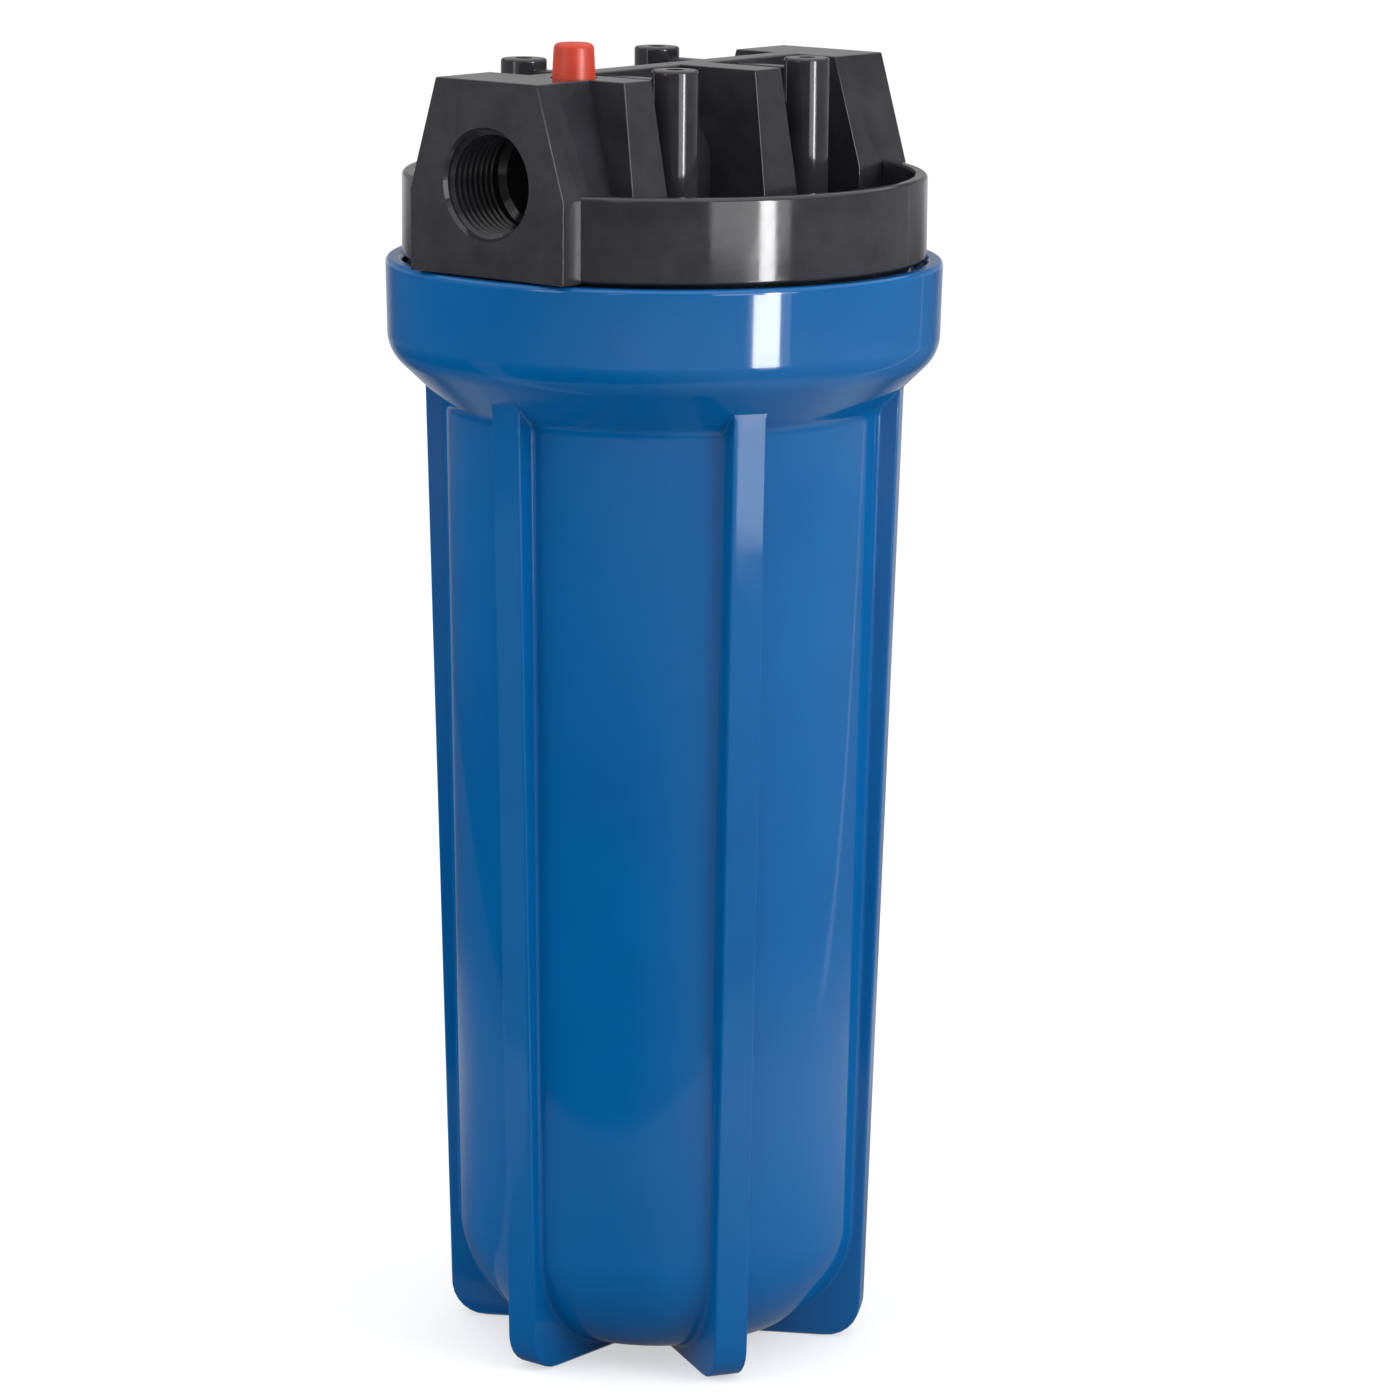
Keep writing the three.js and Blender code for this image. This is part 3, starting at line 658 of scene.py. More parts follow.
def port_tool(side):
    """What a port's bore, its chamfered mouth and the passage behind it take away."""
    stop = INLET_STOP if side < 0 else 0
    corners = [
        (0, stop),
        (PASSAGE_RADIUS, stop),
        (PASSAGE_RADIUS, FACE - PORT_DEPTH - PORT_END),
        (PORT_RADIUS, FACE - PORT_DEPTH),
        (PORT_RADIUS, FACE - PORT_CHAMFER),
        (PORT_MOUTH, FACE),
        (PORT_MOUTH, FACE + OVERRUN),
        (0, FACE + OVERRUN),
    ]
    tool = turned("port", corners, 72)
    if side < 0:
        tool.data.transform(Matrix.Rotation(pi, 4, "Y"))
    return lying(tool, PORT)


def bore(radius, start, end, x=0, y=0, steps=32):
    return turned("bore", [(0, start), (radius, start), (radius, end), (0, end)], steps, x, y)


def pipe_thread(side):
    ridge = thread("pipe_thread", PORT_RADIUS, PORT_RADIUS - PIPE_THREAD_DEPTH, PIPE_PITCH,
                   FACE - PIPE_THREAD_LENGTH, PIPE_THREAD_TURNS, shares=(0.85, 0.15), steps=48, sunk=0.15)
    if side < 0:
        ridge.data.transform(Matrix.Rotation(pi, 4, "Y"))
    return lying(ridge, PORT)


def make_cap():
    cap = cap_shell()
    parts = [port_block(-1), port_block(1), trunk(), spine(), lobe(LOBE_STARTS[0]), lobe(LOBE_STARTS[1])]
    parts += [web(-BOSS_X), web(BOSS_X), cartridge_seat()]
    places = [(x, y) for x in (-BOSS_X, BOSS_X) for y in (-BOSS_Y, BOSS_Y)]
    parts += [boss(x, y) for x, y in places]
    combine(cap, parts, "UNION")
    tools = [port_tool(-1), port_tool(1)]
    tools.append(bore(INLET_RADIUS, CEILING - OVERRUN, PORT, INLET_X))
    spigot_tip = CARTRIDGE_HIGH - SPIGOT_REACH
    tools.append(bore(OUTLET_RADIUS, spigot_tip - OVERRUN, PORT + OUTLET_OVER, steps=48))
    tools.append(bore(WELL_RADIUS, WELL_FLOOR, DECK + OVERRUN, BUTTON_X, BUTTON_Y, 40))
    tools.append(bore(STEM_HOLE, VALVE_SEAT - OVERRUN, WELL_FLOOR + OVERRUN, BUTTON_X, BUTTON_Y, 24))
    tools.append(bore(VALVE_POCKET, PORT, VALVE_SEAT, BUTTON_X, BUTTON_Y))
    hole_foot = BOSS_TOP - BOSS_HOLE_DEPTH
    tools += [bore(BOSS_HOLE, hole_foot, BOSS_TOP + OVERRUN, x, y, 20) for x, y in places]
    combine(cap, tools, "DIFFERENCE")
    clean(cap)
    neck = thread("neck_thread", NECK_RADIUS, NECK_RADIUS + THREAD_DEPTH, THREAD_LEAD,
                  NECK_FOOT + NECK_THREAD_START, THREAD_TURNS)
    return smooth(gather(cap, [neck, pipe_thread(-1), pipe_thread(1)]), 30)


# Pressure relief valve

def make_button():
    crown = BUTTON_HIGH.z - BUTTON_CROWN
    radius = BUTTON_HIGH.x - BUTTON_X
    button = turned("button_moulding", [
        (0, crown + BUTTON_SOCKET_DEPTH),
        (BUTTON_SOCKET, crown + BUTTON_SOCKET_DEPTH),
        (BUTTON_SOCKET, crown),
        (BUTTON_BORE, crown),
        (BUTTON_FOOT_BORE, BUTTON_LOW.z),
        (radius, BUTTON_LOW.z, 0.2, 2),
        (radius - BUTTON_TAPER, BUTTON_HIGH.z, 1.3, 8),
        (0, BUTTON_HIGH.z),
    ], 48, BUTTON_X, BUTTON_Y)
    return smooth(button, 40)


def make_stem():
    flange = STEM_LOW.z + FLANGE_HEIGHT
    stem = turned("stem_moulding", [
        (0, STEM_LOW.z),
        (FLANGE_RADIUS, STEM_LOW.z, 0.3, 3),
        (FLANGE_RADIUS, flange, 0.3, 3),
        (STEM_RADIUS, flange, 0.3, 3),
        (STEM_RADIUS, STEM_HIGH.z, 0.3, 3),
        (0, STEM_HIGH.z),
    ], 40, BUTTON_X, BUTTON_Y)
    return smooth(stem, 40)


def ring(name, box_low, box_high, x=0, y=0, steps=144, sides=20):
    """An O-ring: a round cord in a circle, as large as its node."""
    cord = (box_high.z - box_low.z) / 2
    radius = box_high.x - x - cord
    middle = (box_high.z + box_low.z) / 2
    corners = []
    for i in range(sides):
        turn = 2 * pi * i / sides
        corners.append((radius + cord * cos(turn), middle + cord * sin(turn)))
    return smooth(turned(name, corners, steps, x, y), 60)


def make_spring():
    """Round wire along a helix, its end turns lying almost flat."""
    steps, sides = 24, 10
    radius = SPRING_HIGH.x - BUTTON_X - WIRE
    start, end = SPRING_LOW.z + WIRE, SPRING_HIGH.z - WIRE
    rings = []
    count = COILS * steps
    for i in range(count + 1):
        angle = 2 * pi * i / steps
        share = i / count
        z = start + (end - start) * (share - END_TURN_SHARE * sin(2 * pi * share) / (2 * pi))
        size = 0 if i in (0, count) else WIRE
        section = []
        for k in range(sides + 1):
            turn = 2 * pi * k / sides
            r = radius + size * cos(turn)
            section.append((BUTTON_X + r * cos(angle), BUTTON_Y + r * sin(angle), z + size * sin(turn)))
        rings.append(section)
    return smooth(net("spring_wire", rings), 60)


# Cartridge

def gasket(name, flip):
    foot, top = CARTRIDGE_LOW, GASKET_HIGH.z
    piece = turned(name, [
        (GASKET_BORE, foot, 0.3, 2),
        (GASKET_HIGH.x, foot, 0.3, 2),
        (GASKET_HIGH.x, top, 0.3, 2),
        (GASKET_BORE, top, 0.3, 2),
    ])
    return smooth(turned_over(piece) if flip else piece, 35)


def end_cap(name, flip):
    foot, top = END_CAP_LOW.z, END_CAP_HIGH.z
    radius = END_CAP_HIGH.x
    disc = top - END_CAP_DISC
    recess = GASKET_HIGH.z + PART_GAP
    piece = turned(name, [
        (GASKET_BORE, recess, 0.3, 2),
        (GASKET_HIGH.x + PART_GAP, recess),
        (GASKET_HIGH.x + PART_GAP, foot, 0.3, 2),
        (radius, foot, 1, 4),
        (radius, top, 0.3, 3),
        (radius - END_CAP_LIP, top, 0.3, 3),
        (radius - END_CAP_LIP, disc),
        (GASKET_BORE, disc, 0.3, 2),
    ])
    return smooth(turned_over(piece) if flip else piece, 35)


def turned_over(obj):
    """The same piece at the other end of the cartridge."""
    middle = Vector((0, 0, (CARTRIDGE_LOW + CARTRIDGE_HIGH) / 2 * MM))
    half_turn = Matrix.Rotation(pi, 4, "X")
    obj.data.transform(Matrix.Translation(middle) @ half_turn @ Matrix.Translation(-middle))
    return obj


def pleat_line(offset):
    """The middle line of the folded sheet, moved to one side of it by offset."""
    outer = PLEATS_HIGH.x - PLEAT_SHEET / 2
    middle, half = (outer + PLEAT_INNER) / 2, (outer - PLEAT_INNER) / 2
    line = []
    for i in range(PLEATS * PLEAT_STEPS):
        wave = cos(2 * pi * i / PLEAT_STEPS)
        radius = middle + half * copysign(abs(wave) ** PLEAT_SHARPNESS, wave)
        angle = 2 * pi * i / (PLEATS * PLEAT_STEPS)
        line.append(Vector((radius * cos(angle), radius * sin(angle))))
    moved = []
    for i, point in enumerate(line):
        along = line[(i + 1) % len(line)] - line[i - 1]
        side = Vector((along.y, -along.x)).normalized()
        moved.append(point + side * offset)
    moved.append(moved[0])
    return moved


def make_pleats():
    """The filter sheet folded to and fro round the core, as one closed sheet with its thickness."""
    outside, inside = pleat_line(PLEAT_SHEET / 2), pleat_line(-PLEAT_SHEET / 2)
    foot, top = PLEATS_LOW.z, PLEATS_HIGH.z
    levels = [(inside, foot), (outside, foot), (outside, top), (inside, top), (inside, foot)]
    rows = [[(p.x, p.y, z) for p in line] for line, z in levels]
    return smooth(net("pleated_sheet", rows), 50)


# Materials

NOISE_ROUGHNESS = 0.55
NOISE_LOW, NOISE_HIGH = 0.3, 0.7  # where nearly all of a noise's values lie
PLASTIC_IOR = 1.49
RUBBER_IOR = 1.52


def linear(colour):
    """A hex colour as linear red, green, blue and alpha."""
    values = [int(colour[i:i + 2], 16) / 255 for i in (0, 2, 4)]
    return (*(v / 12.92 if v <= 0.04045 else ((v + 0.055) / 1.055) ** 2.4 for v in values), 1)


def per(size):
    """The scale of a pattern whose features are that many millimetres across."""
    return 1 / (size * MM)


def feed(tree, node, inputs):
    """Gives a node's inputs, in order or by name or number, their values or the sockets that feed them."""
    for key, value in inputs.items() if isinstance(inputs, dict) else enumerate(inputs):
        if isinstance(value, bpy.types.NodeSocket):
            tree.links.new(value, node.inputs[key])
        else:
            node.inputs[key].default_value = value


def add(tree, kind, inputs=(), output=0, **settings):
    """Adds a node with its settings and links, and returns one of its outputs."""
    node = tree.nodes.new("ShaderNode" + kind)
    for name, value in settings.items():
        setattr(node, name, value)
    feed(tree, node, inputs)
    return node.outputs[output]


def material(name):
    """A new node material, its tree and its Principled shader."""
    made = bpy.data.materials.new(name)
    made.use_nodes = True
    return made, made.node_tree, made.node_tree.nodes["Principled BSDF"]


def moulded(name, dark, light, gloss, cloud, peel, peel_depth, ior=PLASTIC_IOR):
    """Injection moulded plastic: a cloudy tint from the melt's flow, a gloss that varies a little over the
    tool's polish, and the orange peel that a cooling skin takes."""
    made, tree, shader = material(name)
    place = add(tree, "TexCoord", output="Object")
    sizes = {"clouds": (cloud, 4), "patches": (cloud / 3, 3), "skin": (peel, 2)}
    pattern = {}
    for part, (size, detail) in sizes.items():
        pattern[part] = add(tree, "TexNoise", {"Vector": place, "Scale": per(size), "Detail": detail,
                                               "Roughness": NOISE_ROUGHNESS})
    share = add(tree, "MapRange", (pattern["clouds"], NOISE_LOW, NOISE_HIGH))
    feed(tree, shader, {
        "Base Color": add(tree, "Mix", {0: share, 6: linear(dark), 7: linear(light)}, 2, data_type="RGBA"),
        "Roughness": add(tree, "MapRange", (pattern["patches"], NOISE_LOW, NOISE_HIGH, *gloss)),
        "Normal": add(tree, "Bump", {"Height": pattern["skin"], "Strength": 1, "Distance": peel_depth * MM}),
        "IOR": ior,
    })
    return made


def nonwoven():
    """Spun-bonded polyester sheet: fibres matted in all directions, so it looks soft, matt and a little
    furry."""
    made, tree, shader = material("spunbonded_polyester_sheet")
    place = add(tree, "TexCoord", output="Object")
    tufts = add(tree, "TexNoise", {"Vector": place, "Scale": per(1.1), "Detail": 5, "Roughness": 0.7})
    share = add(tree, "MapRange", (tufts, NOISE_LOW, NOISE_HIGH))
    fibres = add(tree, "TexNoise", {"Vector": place, "Scale": per(0.5), "Detail": 4, "Roughness": 0.75})
    feed(tree, shader, {
        "Base Color": add(tree, "Mix", {0: share, 6: linear("DAD8CE"), 7: linear("F4F3EC")}, 2,
                          data_type="RGBA"),
        "Normal": add(tree, "Bump", {"Height": fibres, "Strength": 0.8, "Distance": 0.12 * MM}),
        "Roughness": 0.9,
        "Sheen Weight": 0.2,
    })
    return made


def drawn_steel():
    """Stainless spring wire: drawn through a die, so bright with a slight haze."""
    made, tree, shader = material("drawn_stainless_wire")
    place = add(tree, "TexCoord", output="Object")
    haze = add(tree, "TexNoise", {"Vector": place, "Scale": per(0.8), "Detail": 3,
                                  "Roughness": NOISE_ROUGHNESS})
    share = add(tree, "MapRange", (haze, NOISE_LOW, NOISE_HIGH))
    feed(tree, shader, {
        "Base Color": add(tree, "Mix", {0: share, 6: linear("B4B6B9"), 7: linear("C6C8CA")}, 2,
                          data_type="RGBA"),
        "Roughness": add(tree, "MapRange", (haze, NOISE_LOW, NOISE_HIGH, 0.22, 0.36)),
        "Metallic": 1,
    })
    return made


def make_materials():
    """Each moulding's darkest and lightest tint, its range of gloss, and its patterns in millimetres."""
    made = {}
    # polypropylene from a polished tool: clean, deep blue, with clear reflections
    made["blue"] = moulded("moulded_polypropylene_blue", "005A9A", "0060A1", (0.05, 0.09), 30, 6, 0.002)
    # the same plastic in carbon black, from a worn tool: glossy, with duller patches
    made["black"] = moulded("moulded_polypropylene_black", "2B2A2E", "37363A", (0.07, 0.13), 9, 1.6, 0.003)
    # a small acetal moulding, a little dull
    made["red"] = moulded("moulded_acetal_red", "C43317", "D23E1E", (0.3, 0.4), 4, 1.2, 0.004)
    # unfilled polypropylene, whitish and slightly cloudy
    made["white"] = moulded("moulded_polypropylene_white", "DEDFDB", "E9EAE6", (0.38, 0.5), 12, 1.5, 0.006)
    # nitrile rubber from a fine-turned mould: near black, with a dull sheen
    made["rubber"] = moulded("moulded_nitrile_rubber", "161617", "1F1F20", (0.55, 0.7), 5, 0.5, 0.01,
                             RUBBER_IOR)
    # calendered rubber sheet, die cut: dark grey and matt
    made["gasket"] = moulded("die_cut_rubber_sheet", "3A3D40", "45484B", (0.65, 0.8), 4, 0.6, 0.03,
                             RUBBER_IOR)
    made["sheet"] = nonwoven()
    made["wire"] = drawn_steel()
    return made


def dress(obj, finish, body, slot, *nodes):
    """Gives a piece its material and its body, and hides the nodes that it stands for."""
    obj.data.materials.clear()
    obj.data.materials.append(finish)
    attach(obj, body)
    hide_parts(*nodes)
    return obj


# Camera and light

CAMERA_DISTANCE = 1202.25  # from the housing's axis
CAMERA_HEIGHT = 405.13
CAMERA_TURN = radians(50.4)  # the housing's X axis turned away from the picture plane
CAMERA_DOWN = 0.205770
CAMERA_YAW = -0.00765062
CAMERA_ROLL = 0.00864422
CAMERA_CLIP = (0.05, 50)
FOCAL_PIXELS = 5173.47
PHOTO_PIXELS = 1400
SENSOR = 36

TO_CAMERA = Vector((-sin(CAMERA_TURN), -cos(CAMERA_TURN), 0))
RIGHT = Vector((cos(CAMERA_TURN), -sin(CAMERA_TURN), 0))
UP = Vector((0, 0, 1))

# Each light's name, degrees to the right of the camera, distance and height in millimetres, width and height
# in metres, radiance, and the height on the axis that it faces
GLOSS_LIGHTS = [
    ("strip", 43.5, 760, 360, (0.09, 0.41), 21, 360),
    ("strip_foot", 40.8, 762, 127, (0.15, 0.056), 21, 127),
    ("strip_halo", 42, 790, 130, (0.25, 0.068), 1.4, 130),
    ("soft_box", 36.4, 760, 392, (0.475, 0.43), 3.3, 392),
    ("low_box", 42, 750, 67, (0.11, 0.056), 3.6, 67),
    ("left_box", -48, 1000, 460, (0.25, 0.5), 2.4, 460),
    ("high_lamp", -19, 1000, 440, (0.16, 0.09), 5, 440),
]
COLOUR_LIGHTS = [
    ("key", 60, 800, 480, (0.5, 0.5), 4.2, 200),
    ("fill", -78, 900, 430, (0.5, 0.5), 2.3, 200),
]
OVERHEAD = ("overhead", 0, 400, 1500, (1.4, 1.4), 0.5, 150)


def make_camera():
    side = RIGHT * cos(CAMERA_YAW) - TO_CAMERA * sin(CAMERA_YAW)
    ahead = -RIGHT * sin(CAMERA_YAW) - TO_CAMERA * cos(CAMERA_YAW)
    forward = ahead * cos(CAMERA_DOWN) - UP * sin(CAMERA_DOWN)
    up = ahead * sin(CAMERA_DOWN) + UP * cos(CAMERA_DOWN)
    right_axis = side * cos(CAMERA_ROLL) + up * sin(CAMERA_ROLL)
    up_axis = up * cos(CAMERA_ROLL) - side * sin(CAMERA_ROLL)
    data = bpy.data.cameras.new("photo_camera")
    data.sensor_width = SENSOR
    data.lens = FOCAL_PIXELS * SENSOR / PHOTO_PIXELS
    data.clip_start, data.clip_end = CAMERA_CLIP
    camera = bpy.data.objects.new("photo_camera", data)
    bpy.context.scene.collection.objects.link(camera)
    axes = Matrix((right_axis, up_axis, -forward)).transposed()
    place = (TO_CAMERA * CAMERA_DISTANCE + UP * CAMERA_HEIGHT) * MM
    camera.matrix_world = Matrix.Translation(place) @ axes.to_4x4()
    bpy.context.scene.camera = camera


def around(angle, distance, height=0):
    """A place round the housing: angle in degrees to the right of the camera."""
    turn = radians(angle)
    return (TO_CAMERA * cos(turn) + RIGHT * sin(turn)) * distance + UP * height


def panel(name, angle, distance, height, size, radiance, aim):
    """A soft light as large as size, that faces the housing's axis."""
    place = around(angle, distance, height) * MM
    bpy.ops.object.light_add(type="AREA", location=place)
    light = bpy.context.object
    light.name = name
    light.data.shape = "RECTANGLE"
    light.data.size, light.data.size_y = size
    light.data.energy = radiance * pi * size[0] * size[1]
    facing = UP * aim * MM - place
    light.rotation_euler = facing.to_track_quat("-Z", "Y").to_euler()
    light.visible_camera = False
    return light


def make_light():
    """Strips and boxes that only gloss shows, on the skirt, the collar and the nearest rib, and soft light
    from the right, the left and above that shapes the colour."""
    for row in GLOSS_LIGHTS:
        panel(*row).visible_diffuse = False
    for row in COLOUR_LIGHTS:
        panel(*row).visible_glossy = False
    panel(*OVERHEAD)


# Stage

FLOOR_SIZE = 12
FLOOR_GAP = 0.0002  # under the feet
FLOOR_COLOUR = "BCBCBC"
FLOOR_GLOW = 0.55
DIM_SIDE = -10  # the world is dimmer on the camera's side, round this angle
DIM_SPAN = (0.3, 0.95, 1, 0.7)

TIMES = {"operation": "MULTIPLY"}
DOT = {"operation": "DOT_PRODUCT"}
SOFT = {"interpolation_type": "SMOOTHSTEP"}


def floor_material():
    """Matt paper that glows a little for the camera, so that it shows white and still takes a shadow."""
    made, tree, shader = material("matt_white_paper")
    feed(tree, shader, {"Base Color": linear(FLOOR_COLOUR), "Roughness": 1, "Specular IOR Level": 0})
    glow = add(tree, "Emission", {"Strength": FLOOR_GLOW})
    lit = add(tree, "AddShader", (shader.outputs[0], glow))
    rays = add(tree, "LightPath", output="Is Camera Ray")
    for kind in ("Is Glossy Ray", "Is Transmission Ray"):
        rays = add(tree, "Math", (rays, add(tree, "LightPath", output=kind)), operation="MAXIMUM")
    seen = add(tree, "MixShader", (rays, shader.outputs[0], lit))
    feed(tree, tree.nodes["Material Output"], {"Surface": seen})
    return made


def make_stage():
    bpy.ops.object.select_all(action="DESELECT")
    bpy.ops.mesh.primitive_plane_add(size=FLOOR_SIZE, location=(0, 0, -FLOOR_GAP))
    floor = bpy.context.object
    floor.name = "floor"
    floor.data.materials.append(floor_material())
    floor.visible_glossy = False
    world = bpy.data.worlds.new("studio")
    bpy.context.scene.world = world
    world.use_nodes = True
    tree = world.node_tree
    way = add(tree, "TexCoord", output="Generated")
    toward = add(tree, "VectorMath", (way, around(DIM_SIDE, 1)), "Value", **DOT)
    strength = add(tree, "MapRange", (toward, *DIM_SPAN), **SOFT)
    feed(tree, tree.nodes["Background"], {"Color": (1, 1, 1, 1), "Strength": strength})


# Room

# Painted reflections: a glowing surround that only gloss sees, its levels the painted light and shade
# that the housing reflects. Lengths are in metres and angles in degrees to the right of the camera. A span
# is where a step starts and ends, with the levels before and after it where they aren't 0 and 1, and a
# level of 1 is white.
ROOM_RADIUS = 1.9
ROOM_HEIGHT = 1.3
ROOM_FLOOR = 0.0005
ROOM_STEPS = 48
ROOM_SIDES = {"right": 42, "pool": 65, "dark_ground": -75, "slot": -78, "camera": -2, "back": 180}
# painted light on the floor: lighter to the right, and a band of it far out that is lighter still
FLOOR_SPAN = (-0.5, 1, 0.1, 0.5)
FLOOR_NEAR = (0.45, 0.85, 0.76, 1)
FAR_STARTS, FAR_ENDS = (1.15, 1.242), (1.55, 1.426)
FAR_GAIN = 1.45
# the sheet under the housing, with a painted pool of light on it and the housing's own shadow painted on it
SHEET_CENTRE = (153, 0.391)
SHEET_RIM = (0.611, 0.627)
POOL_SPAN = (0, 1, 0.25, 0.75)
POOL_BACK = (0.35, 0.8, 0, 0.15)
POOL_FADE = (0.23, 0.42)
PAINTED_SHADOW_SPAN = (0.06, 0.26, 0.35, 1)
# the floor beyond the sheet, in front and to the left, painted darker
DARK_GROUND_REACH = (1.15, 0.43)
DARK_GROUND_SPAN = (-0.34, 0.64)
DARK_GROUND_LEVEL = 0.04
# painted light and shade on the wall: darker above and behind the camera, and lighter low down at the back
WALL_FOOT = (0.02, 0.08)
WALL_CAMERA = (0.82, 0.94, 0.36, 0.1)
WALL_TOP = (0.65, 0.9)
WALL_TOP_LEVEL = 0.15
BACK_SPAN = (0.85, 0.98)
BACK_HEIGHT = (0.4, 0.28)
BACK_LEVEL = 0.35
# a painted narrow light on the floor to the left, and a painted bright edge of the sheet to the right and
# behind
SLOT_SPAN = (0.988, 0.995)
SLOT_REACH = (1.1, 0.95)
SLOT_LEVEL = 0.2
EDGE_ANGLE, EDGE_PLACE, EDGE_HALF = 49.2, 0.2245, 0.012
EDGE_START = (0.2, 0.3)
EDGE_LEVEL = 0.5


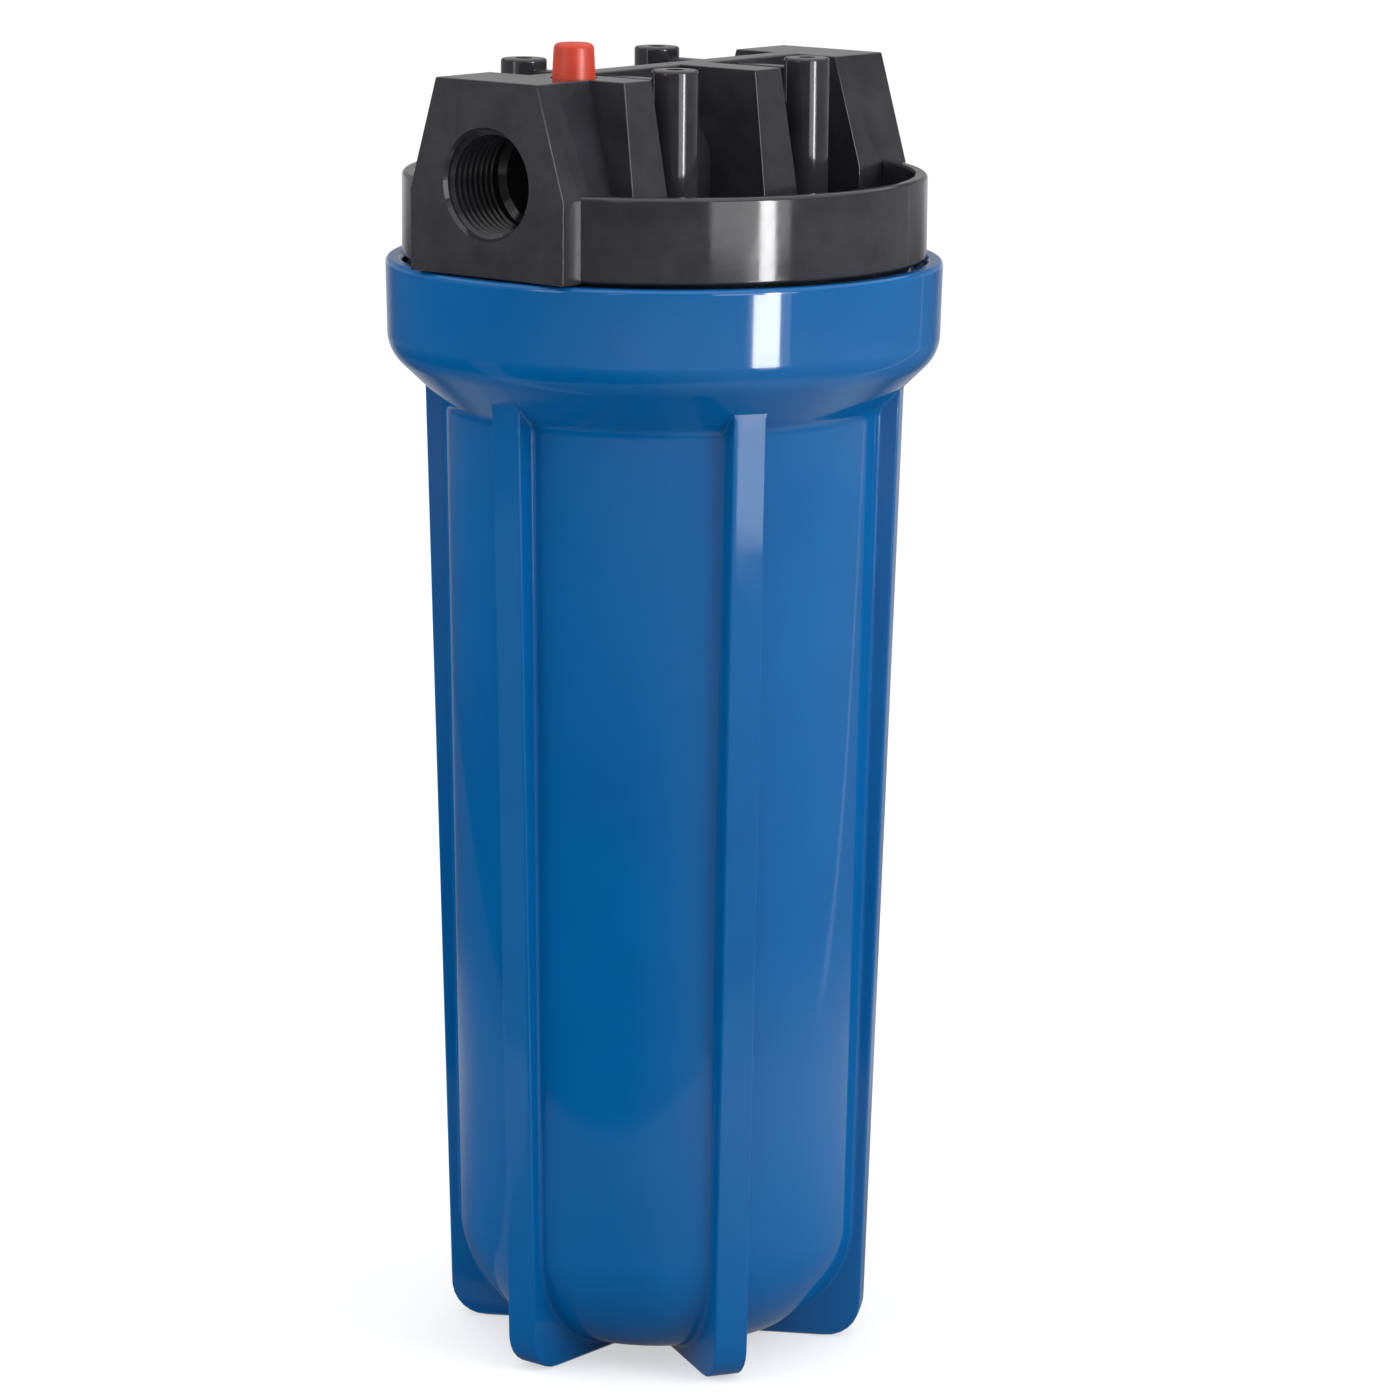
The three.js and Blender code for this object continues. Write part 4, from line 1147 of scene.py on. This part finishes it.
# painted reflections: the room's glow paints light and shade round the set, for gloss to show
def room_material():
    made, tree, _ = material("room_round_the_set")
    place = add(tree, "TexCoord", output="Object")
    height = add(tree, "SeparateXYZ", (place,), "Z")
    flat = add(tree, "VectorMath", (place, (1, 1, 0)), **TIMES)
    reach = add(tree, "VectorMath", (flat,), "Value", operation="LENGTH")
    way = add(tree, "VectorMath", (flat,), operation="NORMALIZE")
    side = {}
    for name, angle in ROOM_SIDES.items():
        side[name] = add(tree, "VectorMath", (way, around(angle, 1)), "Value", **DOT)

    # painted light: the floor lighter to the right, and lighter still far out
    floor = add(tree, "MapRange", (side["right"], *FLOOR_SPAN), **SOFT)
    floor = add(tree, "Math", (floor, add(tree, "MapRange", (reach, *FLOOR_NEAR), **SOFT)), **TIMES)

    # a painted pool of light on the sheet, with the housing's own shadow painted into it
    pool = add(tree, "MapRange", (side["pool"], *POOL_SPAN), **SOFT)
    pool = add(tree, "Math", (pool, add(tree, "MapRange", (side["back"], *POOL_BACK), **SOFT)))
    pool = add(tree, "Math", (pool, add(tree, "MapRange", (reach, *PAINTED_SHADOW_SPAN), **SOFT)), **TIMES)
    fade = add(tree, "MapRange", (reach, *POOL_FADE), **SOFT)
    sheet = add(tree, "Mix", {0: fade, 2: pool, 3: floor}, data_type="FLOAT")

    from_centre = add(tree, "VectorMath", (flat, around(*SHEET_CENTRE)), "Value", operation="DISTANCE")
    beyond = add(tree, "MapRange", (from_centre, *SHEET_RIM), **SOFT)
    ground = add(tree, "Mix", {0: beyond, 2: sheet, 3: floor}, data_type="FLOAT")
    far = [add(tree, "MapRange", (reach, *span), **SOFT) for span in (FAR_STARTS, FAR_ENDS)]
    far = add(tree, "Math", far, **TIMES)
    ground = add(tree, "Math", (ground, add(tree, "MapRange", (far, 0, 1, 1, FAR_GAIN))), **TIMES)

    # the floor beyond the sheet, painted darker in front and to the left
    dark_ground = add(tree, "Math", (beyond, add(tree, "MapRange", (reach, *DARK_GROUND_REACH))), **TIMES)
    dark_ground = add(tree, "Math", (dark_ground, add(tree, "MapRange", (side["dark_ground"], *DARK_GROUND_SPAN), **SOFT)), **TIMES)
    ground = add(tree, "Math", (ground, add(tree, "MapRange", (dark_ground, 0, 1, 1, DARK_GROUND_LEVEL))), **TIMES)

    # painted shade and light on the wall
    low_wall = add(tree, "MapRange", (side["camera"], *WALL_CAMERA), **SOFT)
    rise = add(tree, "MapRange", (height, *WALL_TOP), **SOFT)
    wall = add(tree, "Mix", {0: rise, 2: low_wall, 3: WALL_TOP_LEVEL}, data_type="FLOAT")
    foot = add(tree, "MapRange", (height, *WALL_FOOT), **SOFT)
    room = add(tree, "Mix", {0: foot, 2: ground, 3: wall}, data_type="FLOAT")

    edge = add(tree, "VectorMath", (flat, around(EDGE_ANGLE, 1)), "Value", **DOT)
    edge_length = add(tree, "VectorMath", (flat, around(EDGE_ANGLE + 90, 1)), "Value", **DOT)
    # painted lights: a light patch low at the back, a narrow light on the floor, and the sheet's bright edge
    patches = [
        (add(tree, "MapRange", (side["back"], *BACK_SPAN), **SOFT),
         add(tree, "MapRange", (height, *BACK_HEIGHT), **SOFT), BACK_LEVEL),
        (add(tree, "MapRange", (side["slot"], *SLOT_SPAN), **SOFT),
         add(tree, "MapRange", (reach, *SLOT_REACH), **SOFT), SLOT_LEVEL),
        (add(tree, "Math", (edge, EDGE_PLACE, EDGE_HALF), operation="COMPARE"),
         add(tree, "MapRange", (edge_length, *EDGE_START), **SOFT), EDGE_LEVEL),
    ]
    for across, length, level in patches:
        patch = add(tree, "Math", (across, length), **TIMES)
        room = add(tree, "Math", (patch, level, room), operation="MULTIPLY_ADD")
    # the room glows with these painted levels
    glow = add(tree, "Emission", {"Strength": room})
    feed(tree, tree.nodes["Material Output"], {"Surface": glow})
    return made


def make_room():
    rows = []
    for radius, height in [(0, ROOM_FLOOR), (ROOM_RADIUS, ROOM_FLOOR), (ROOM_RADIUS, ROOM_HEIGHT)]:
        turns = [2 * pi * i / ROOM_STEPS for i in range(ROOM_STEPS + 1)]
        rows.append([(radius * cos(turn) / MM, radius * sin(turn) / MM, height / MM) for turn in turns])
    # a glowing shell that paints the reflections, seen only by gloss
    room = net("room", rows)
    room.data.materials.append(room_material())
    room.visible_camera = False
    room.visible_diffuse = False
    room.visible_shadow = False
    room.visible_transmission = False


# The scene

make_camera()
finishes = make_materials()
dress(make_sump(), finishes["blue"], "sump", "blue_plastic", "sump")
dress(make_cap(), finishes["black"], "cap", "black_plastic", "cap_body")
dress(make_button(), finishes["red"], "relief_valve", "red_plastic", "relief_button")
dress(make_stem(), finishes["white"], "relief_valve", "white_plastic", "relief_stem")
valve_ring = ring("valve_seal", VALVE_RING_LOW, VALVE_RING_HIGH, BUTTON_X, BUTTON_Y, 48, 12)
dress(valve_ring, finishes["rubber"], "relief_valve", "black_rubber", "relief_o_ring")
dress(ring("main_seal", SEAL_LOW, SEAL_HIGH), finishes["rubber"], "o_ring", "black_rubber", "main_o_ring")
spring = dress(make_spring(), finishes["wire"], "cap", "spring_steel", "relief_spring")
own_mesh(spring)
dress(make_pleats(), finishes["sheet"], "cartridge", "pleated_media", "cartridge_pleats")
for end, flip in (("bottom", False), ("top", True)):
    cap_piece = end_cap(end + "_end_cap", flip)
    dress(cap_piece, finishes["white"], "cartridge", "white_plastic", "cartridge_" + end + "_end_cap")
    gasket_piece = gasket(end + "_gasket", flip)
    dress(gasket_piece, finishes["gasket"], "cartridge", "grey_rubber", "cartridge_" + end + "_gasket")
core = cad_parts["cartridge_core"]
core.data.materials.clear()
core.data.materials.append(finishes["white"])
make_light()
make_stage()
make_room()
bpy.context.scene.view_settings.view_transform = "Standard"
